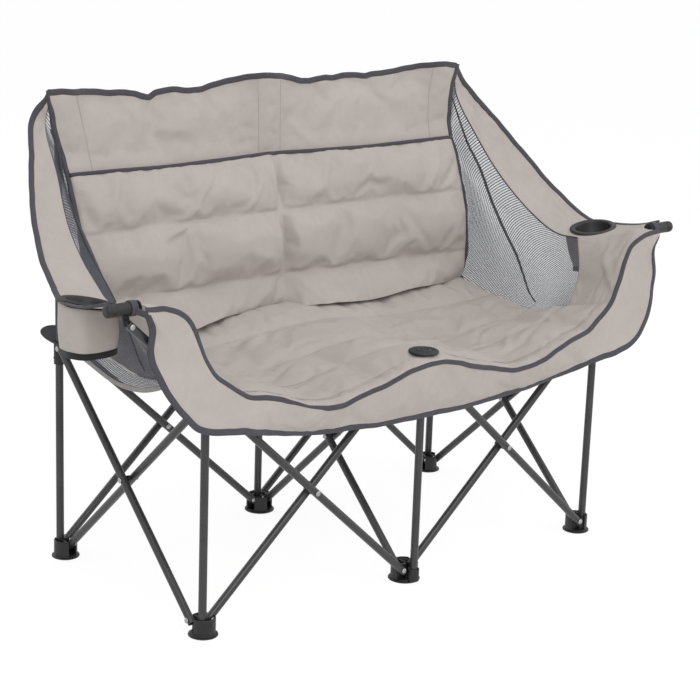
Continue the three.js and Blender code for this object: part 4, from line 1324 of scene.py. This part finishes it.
# Frame pieces, rounder and finer than the ones that the CAD made
BODY_OF = {
    node: body
    for body, nodes in frame["record"]["behaviour"]["bodies"].items()
    for node in nodes
}
COLUMNS = {"left": -1, "centre": 0, "right": 1}
ROWS = {"front": -1, "rear": 1}
NEIGHBOURS = {
    "rear_left": ("rear_centre", "front_left"),
    "rear_centre": ("rear_left", "rear_right", "front_centre"),
    "rear_right": ("rear_centre", "front_right"),
    "front_left": ("front_centre", "rear_left"),
    "front_centre": ("front_left", "front_right", "rear_centre"),
    "front_right": ("front_centre", "rear_right"),
}
TUBE_RADIUS = 8
TUBE_BORE = 6.8
TUBE_OVERHANG = 9
TUBE_OFFSET = 11
CROSS_LENGTH = math.hypot(RISE, SPAN)
ARM_TUBE_LENGTH = (ARM_PIN_HEIGHT - FOOT_PIN_HEIGHT) / math.sin(CROSS_ANGLE)
FRONT_POST_TOP = 440
FRONT_CENTRE_SHIFT = -21
NEARLY_WHOLE_TURN = 2 * math.pi - 0.001
PLATE_ROUNDING = 0.7
PIN_LONG = 22
PIN_SHORT = 4


def placed(place, way=(0, 0, 1)):
    """A turn and shift that stands a shape at a place, with its height along a way."""
    turn = Vector((0, 0, 1)).rotation_difference(Vector(way)).to_matrix().to_4x4()
    return Matrix.Translation(Vector(place)) @ turn


def rounded_rod(radius, low, high, rounding):
    """The outline of a solid round bar, from its lowest point to its highest."""
    return [
        (0, low), (radius - rounding, low), (radius, low + rounding),
        (radius, high - rounding), (radius - rounding, high), (0, high),
    ]


def open_tube(low, high, deep=14):
    """The outline of a tube, which is open at both ends."""
    rim = 0.4
    return [
        (0, low + deep), (TUBE_BORE, low + deep), (TUBE_BORE, low + rim), (TUBE_BORE + rim, low),
        (TUBE_RADIUS - rim, low), (TUBE_RADIUS, low + rim), (TUBE_RADIUS, high - rim),
        (TUBE_RADIUS - rim, high), (TUBE_BORE + rim, high), (TUBE_BORE, high - rim),
        (TUBE_BORE, high - deep), (0, high - deep),
    ]


def rivet(low, high):
    """The outline of a pin with a domed head at each end."""
    upper = [(3, high - 2.5), (5.5, high - 2.5), (5.5, high - 1.8), (4.6, high - 0.7),
             (2.6, high - 0.1), (0, high)]
    return [(radius, low + high - height) for radius, height in reversed(upper)] + upper


class Form:
    """A frame piece gathered from turned shapes and plates."""

    def __init__(self):
        self.build = bmesh.new()

    def take(self, part, where):
        bmesh.ops.remove_doubles(part, verts=part.verts, dist=0.001)
        bmesh.ops.recalc_face_normals(part, faces=part.faces)
        part.transform(where)
        carried = mesh_of(part, "carried")
        self.build.from_mesh(carried)
        bpy.data.meshes.remove(carried)

    def turned(self, outline, where, sides, start=0.0, sweep=2 * math.pi):
        """Spins an outline of radius and height. A part turn takes a closed outline."""
        part = bmesh.new()
        whole = sweep >= 2 * math.pi
        points = [
            part.verts.new((radius * math.cos(start), radius * math.sin(start), height))
            for radius, height in outline
        ]
        pairs = list(zip(points, points[1:])) + ([] if whole else [(points[-1], points[0])])
        edges = [part.edges.new(pair) for pair in pairs]
        bmesh.ops.spin(part, geom=points + edges, cent=(0, 0, 0), axis=(0, 0, 1), angle=sweep,
                       steps=sides, use_merge=whole)
        if not whole:
            rims = [edge for edge in part.edges if edge.is_boundary]
            bmesh.ops.holes_fill(part, edges=rims, sides=0)
        self.take(part, where)

    def plate(self, outline, half, where):
        """An upright plate cut to an outline of reach and height, with its edges rounded."""
        part = bmesh.new()
        face = part.faces.new([part.verts.new((x, y, -half)) for x, y in outline])
        pushed = bmesh.ops.extrude_face_region(part, geom=[face], use_keep_orig=True)["geom"]
        for vertex in pushed:
            if isinstance(vertex, bmesh.types.BMVert):
                vertex.co.z = half
        bmesh.ops.recalc_face_normals(part, faces=part.faces)
        bmesh.ops.bevel(part, geom=part.edges[:], offset=PLATE_ROUNDING, segments=2, profile=0.5,
                        affect="EDGES", material=-1)
        self.take(part, where @ Matrix.Rotation(math.pi / 2, 4, "X"))

    def piece(self, name, finish, node, stands_for=True):
        """The piece that this form makes, on the body of a node. The slot is the finish's."""
        mesh = mesh_of(self.build, name)
        write_places(mesh, metres(read_places(mesh)))
        piece = new_piece(name, mesh, finish)
        mesh.set_sharp_from_angle(angle=math.radians(40))
        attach(piece, BODY_OF[node])
        if stands_for:
            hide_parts(node)


def ground(corner):
    row, column = corner.split("_")
    return Vector((COLUMNS[column] * POST_PITCH, ROWS[row] * ROW_DEPTH, 0))


def bay_frame(start, end):
    """A frame at one foot, whose first axis points along the bay to another foot."""
    way = ground(end) - ground(start)
    turn = Matrix.Rotation(math.atan2(way.y, way.x), 4, "Z")
    return Matrix.Translation(ground(start)) @ turn


def crosswise(where, reach, high):
    """A frame whose height runs across the bay, as a pin does."""
    return where @ placed((reach, 0, high), (0, 1, 0))


def post_place(corner):
    return ground(corner) + Vector((0, FRONT_CENTRE_SHIFT if corner == "front_centre" else 0, 0))


def pins(name, node, bays, low, high, height):
    """The rivets that hold the tubes of the bays to a foot or a hub."""
    form = Form()
    for bay in bays:
        form.turned(rivet(low, high), crosswise(bay, PIN_INSET, height), 24)
    form.piece(name, METAL, node, stands_for=False)


FOOT_HEIGHT = 37
FOOT_WALL = 3.2
FOOT_STEPS = 72
CHEEK_HALF = 2.4


def slot_free_runs(middle, drum, bays):
    """The stretches of a foot's wall between the slots for the tubes, as first step and steps."""
    open_at = []
    for step in range(FOOT_STEPS):
        turn = 2 * math.pi * step / FOOT_STEPS
        spot = middle + Vector((math.cos(turn), math.sin(turn), 0)) * (drum - 1.5)
        local = [bay.inverted() @ spot for bay in bays]
        open_at.append(any(at.x > 8 and 2.2 < at.y < 20.5 for at in local))
    first = open_at.index(True)
    run = []
    for step in range(first, first + FOOT_STEPS + 1):
        if not open_at[step % FOOT_STEPS]:
            run.append(step)
        elif run:
            if len(run) > 1:
                yield run[0], len(run) - 1
            run = []


def foot_form(corner, bays, post):
    row, column = corner.split("_")
    drum = 28 if column == "centre" else 24
    middle = ground(corner) - Vector((COLUMNS[column] * 8, ROWS[row] * 8, 0))
    foot = Form()
    rim = drum + 5
    foot.turned([(0, 0), (rim - 2, 0), (rim - 0.4, 0.8), (rim, 2), (rim - 0.5, 3.4), (rim - 2, 4),
                 (drum + 0.6, 4.6), (drum, 5.6), (0, 5.6)], placed(middle), 56)
    foot.turned([(8.4, 5), (11.6, 5), (11.6, 30), (11, 31), (9, 31), (8.4, 30.4)], placed(post), 36,
                sweep=NEARLY_WHOLE_TURN)
    inside = drum - FOOT_WALL
    wall = [(inside, 5), (inside, FOOT_HEIGHT - 1.2), (inside + 1, FOOT_HEIGHT),
            (drum - 1.2, FOOT_HEIGHT), (drum, FOOT_HEIGHT - 1.2), (drum, 5)]
    for first, steps in slot_free_runs(middle, drum, bays):
        foot.turned(wall, placed(middle), max(2, steps), 2 * math.pi * first / FOOT_STEPS,
                    2 * math.pi * steps / FOOT_STEPS)
    cheek = [(4, 4.5), (29, 4.5), (29, 31), (27, 35), (23, 36.5), (4, 36.5)]
    for bay in bays:
        foot.plate(cheek, CHEEK_HALF, bay)
    return foot


def hub_form(corner, bays, post):
    hub = Form()
    top = 462 if corner.startswith("rear") else 446
    hub.turned(
        [(8.4, 414.6), (9, 414), (10.6, 414), (11.2, 414.6), (11.2, 424), (12, 425), (12, 428),
         (11.2, 429), (11.2, top - 0.8), (10.4, top), (9, top), (8.4, top - 0.6)],
        placed(post), 40, sweep=NEARLY_WHOLE_TURN,
    )
    if corner.startswith("front"):
        neck_top = 464 if corner == "front_centre" else 459
        hub.turned(rounded_rod(8, 440.4, neck_top, 1), placed(post), 36)
        hub.turned(rounded_rod(6, 208, 445, 1), placed(post), 28)
    cheek = [(0, 447), (24, 447), (28, 449), (30, 453), (28, 457), (24, 459), (0, 459)]
    for bay in bays:
        hub.plate(cheek, CHEEK_HALF, bay)
    if corner == "front_centre":
        across = placed(post) @ Matrix.Rotation(math.pi / 2, 4, "Z")
        hub.plate([(0, 447), (24, 447), (24, 462), (0, 462)], CHEEK_HALF, across)
    return hub


for corner, neighbours in NEIGHBOURS.items():
    bays = [bay_frame(corner, neighbour) for neighbour in neighbours]
    post = post_place(corner)
    foot_form(corner, bays, post).piece(f"foot_moulding_{corner}", PLASTIC, f"foot_{corner}")
    pins(f"foot_pins_{corner}", f"foot_{corner}", bays, -PIN_SHORT, PIN_LONG, FOOT_PIN_HEIGHT)
    hub_form(corner, bays, post).piece(f"hub_moulding_{corner}", PLASTIC, f"hub_{corner}")
    pins(f"hub_pins_{corner}", f"hub_{corner}", bays, -PIN_LONG, PIN_SHORT, HUB_PIN_HEIGHT)
    top, deep = (REAR_POST_TOP, 6) if corner.startswith("rear") else (FRONT_POST_TOP, 300)
    upright = Form()
    upright.turned(open_tube(4.3, top, deep), placed(post), 36)
    upright.piece(f"post_tube_{corner}", COAT, f"post_{corner}")

for node in sorted(frame["nodes"]):
    if node.startswith("arm_tube_"):
        start, end, length = "front_centre", "front_" + node[9:], ARM_TUBE_LENGTH
    elif node.startswith("tube_"):
        start, end = node[5:].split("_to_")
        length = CROSS_LENGTH
    else:
        continue
    way = (math.cos(CROSS_ANGLE), 0, math.sin(CROSS_ANGLE))
    tube = Form()
    tube.turned(open_tube(-TUBE_OVERHANG, length + TUBE_OVERHANG),
                bay_frame(start, end) @ placed((PIN_INSET, TUBE_OFFSET, FOOT_PIN_HEIGHT), way), 32)
    tube.piece(f"round_{node}", COAT, node)

CROSSINGS = {
    "front_left": ("front_left", "front_centre"), "front_right": ("front_right", "front_centre"),
    "rear_left": ("rear_left", "rear_centre"), "rear_right": ("rear_right", "rear_centre"),
    "side_left": ("front_left", "rear_left"), "side_right": ("front_right", "rear_right"),
    "middle": ("rear_centre", "front_centre"),
}
for bay_name, (start, end) in CROSSINGS.items():
    half = (ground(end) - ground(start)).length / 2
    where = crosswise(bay_frame(start, end), half, (FOOT_PIN_HEIGHT + HUB_PIN_HEIGHT) / 2)
    node = f"crossing_pin_{bay_name}"
    pin = Form()
    pin.turned(rivet(-PIN_LONG, PIN_LONG), where, 28)
    pin.piece(f"crossing_rivet_{bay_name}", METAL, node)
    spacer = Form()
    ring = [(3.1, -2.5), (6.6, -2.5), (7, -2.1), (7, 2.1), (6.6, 2.5), (3.1, 2.5)]
    spacer.turned(ring, where, 32, sweep=NEARLY_WHOLE_TURN)
    spacer.piece(f"crossing_spacer_{bay_name}", PLASTIC, node, stands_for=False)

# Arm brackets and cups
for side_name, side in SIDES.items():
    frame_at_arm = bay_frame("front_centre", f"front_{side_name}")
    bracket = Form()
    outline = [(ARM_PIN_REACH - 7, 632), (ARM_PIN_REACH - 5, 627), (ARM_PIN_REACH, 625.5),
               (ARM_PIN_REACH + 6, 627), (ARM_PIN_REACH + 12, 655), (ARM_PIN_REACH + 6, 660),
               (ARM_PIN_REACH - 1, 655)]
    bracket.plate(outline, 2.5, frame_at_arm)
    start = GRIP_REACH - 62
    bracket.turned(
        [(0, start - 7), (12.2, start - 7), (13, start - 6.3), (13, start - 4.7), (12.2, start - 4),
         (6, start - 3.6), (6, start - 0.4), (11, start), (12, start + 1), (12, start + 41),
         (11.3, start + 42), (11.3, start + 44), (12, start + 45), (12, start + 57),
         (11.2, start + 60), (9, start + 61.6), (6, start + 62), (0, start + 62)],
        frame_at_arm @ placed((0, 0, GRIP_HEIGHT), (1, 0, 0)), 44,
    )
    node = f"arm_bracket_{side_name}"
    bracket.piece(f"bracket_moulding_{side_name}", PLASTIC, node)
    pin = Form()
    pin.turned(rivet(-PIN_SHORT, PIN_LONG),
               crosswise(frame_at_arm, ARM_PIN_REACH, ARM_PIN_HEIGHT), 28)
    pin.piece(f"bracket_rivet_{side_name}", METAL, node, stands_for=False)
    turn = np.linspace(0, 2 * np.pi, 40)
    loop = np.stack([0 * turn + side * (start + 25), -ROW_DEPTH + 13.4 * np.cos(turn),
                     GRIP_HEIGHT + 13.4 * np.sin(turn)], -1)
    carry(swept(f"bracket_loop_{side_name}", TAPE, loop, (1, 0, 0), 7, 1.1), BODY_OF[node])

    cup = Form()
    cup.turned(
        [(0, -CUP_DEPTH), (CUP_FOOT_RADIUS - 2, -CUP_DEPTH), (CUP_FOOT_RADIUS, -66),
         (CUP_OUTER_RADIUS, -4), (CUP_OUTER_RADIUS, 1.6), (CUP_RIM_RADIUS - 0.8, 1.6),
         (CUP_RIM_RADIUS, 2.6), (CUP_RIM_RADIUS, 4.2), (CUP_RIM_RADIUS - 1.6, 5.8),
         (CUP_RIM_RADIUS - 5, 6.6), (CUP_OUTER_RADIUS + 0.5, 6), (40.6, 4.4), (39.4, 1),
         (33.4, -30), (32.2, -31), (26, -64), (24.6, -65.5), (0, -65.5)],
        placed((side * CUP_REACH, CUP_DEPTH_PLACE, ARM_PIN_HEIGHT))
        @ Matrix.Rotation(-side * math.atan(CUP_TILT), 4, "Y"), 64,
    )
    cup.piece(f"cup_{side_name}", PLASTIC, f"cup_holder_{side_name}")

# The seat button
button = Form()
button.turned(
    [(0, 464.3), (7, 464.3), (8, 465.3), (8, 483), (12, 486.3), (28.8, 486.3), (30.2, 487.4),
     (30.6, 489), (30.2, 490.6), (28.8, 491.8), (23, 492.6), (21.4, 491.2), (17.6, 491.2),
     (16, 493), (10.6, 493.8), (9, 492.2), (5.4, 492.2), (4.2, 493.8), (1.8, 494.2), (0, 494.3)],
    placed(post_place("front_centre")), 56,
)
button.piece("seat_button_disc", PLASTIC, "seat_button")


# Cameras, light and ground
CAMERA_PLACE = (-2.4903, -3.0072, 1.5002)
CAMERA_ANGLES = (39.894, 15.291, 2.0545)
CAMERA_LENS = 100.2
CAMERA_SENSOR = 36
AIM = Vector((0, 0, 0.5))
LIGHTS = (
    ("key", (-2.4, -3.6, 3.0), 3.2, 78),
    ("fill", (3.4, -2.6, 2.2), 2.6, 32),
    ("top", (0.2, -1.5, 4.4), 3.6, 42),
    ("rear", (-1.5, 3.6, 2.4), 2.6, 30),
)
SKY_ON_OBJECT = 0.56
SKY_SEEN = 1.0
FLOOR_HALF = 40
FLOOR_BELOW_FEET = 0.0005
FLOOR_GLOW = 1.06
FLOOR_GLOW_SHARE = 0.86


def place_camera():
    data = bpy.data.cameras.new("camera")
    data.lens = CAMERA_LENS
    data.sensor_width = CAMERA_SENSOR
    camera = shown("camera", data)
    yaw, pitch, roll = (math.radians(angle) for angle in CAMERA_ANGLES)
    ahead = Vector((
        math.sin(yaw) * math.cos(pitch), math.cos(yaw) * math.cos(pitch), -math.sin(pitch)
    ))
    level = Vector((math.cos(yaw), -math.sin(yaw), 0))
    upright = level.cross(ahead)
    right = level * math.cos(roll) + upright * math.sin(roll)
    up = upright * math.cos(roll) - level * math.sin(roll)
    turn = Matrix((right, up, -ahead)).transposed().to_4x4()
    camera.matrix_world = Matrix.Translation(CAMERA_PLACE) @ turn
    bpy.context.scene.camera = camera


def light_scene():
    for name, place, size, energy in LIGHTS:
        light = bpy.data.lights.new(name, "AREA")
        light.size = size
        light.energy = energy
        lamp = shown(name, light)
        lamp.location = place
        lamp.rotation_euler = (AIM - Vector(place)).to_track_quat("-Z", "Y").to_euler()
    world = bpy.data.worlds.new("studio")
    bpy.context.scene.world = world
    sky = Graph(world)
    seen = sky.node("ShaderNodeLightPath", {}, {}, "Is Camera Ray")
    direct = sky.node("ShaderNodeMath", {"use_clamp": True},
                      {0: seen, 1: seen.output("Is Glossy Ray")})
    sockets = {"Value": direct, "To Min": SKY_ON_OBJECT, "To Max": SKY_SEEN}
    background = sky.tree.nodes["Background"]
    sky.feed(background.inputs["Color"], (1, 1, 1, 1))
    sky.feed(background.inputs["Strength"], sky.node("ShaderNodeMapRange", {}, sockets, "Result"))


def lay_ground():
    """A wide pale floor, that glows for the camera so that it melts into the background."""
    floor_mesh, _, _ = grid("floor", 1, 1)
    flat = read_places(floor_mesh) * (FLOOR_HALF, FLOOR_HALF, 0)
    write_places(floor_mesh, flat - (0, 0, FLOOR_BELOW_FEET))
    finish = Finish("pale floor", Roughness=0.95)
    finish.paint(Base_Color=finish.blend(finish.noise(1.5), "f4f4f4", "fafafa"))
    floor = new_piece("floor", floor_mesh, finish.material)
    seen = finish.node("ShaderNodeLightPath", {}, {}, "Is Camera Ray")
    bounced = seen + seen.output("Is Glossy Ray") + seen.output("Is Transmission Ray")
    sockets = {"Color": (1, 1, 1, 1), "Strength": FLOOR_GLOW}
    glow = finish.node("ShaderNodeEmission", {}, sockets)
    sockets = {0: bounced.at_most(1) * FLOOR_GLOW_SHARE, 2: glow,
               1: Share(finish, finish.shader.outputs[0])}
    output = finish.tree.nodes["Material Output"]
    finish.feed(output.inputs["Surface"], finish.node("ShaderNodeMixShader", {}, sockets))
    floor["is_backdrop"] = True


place_camera()
light_scene()
lay_ground()
bpy.context.scene.view_settings.view_transform = "Standard"

boxes = {"cad": cad_box, "visual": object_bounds()}
{key: [list(map(float, corner)) for corner in box] for key, box in boxes.items()}
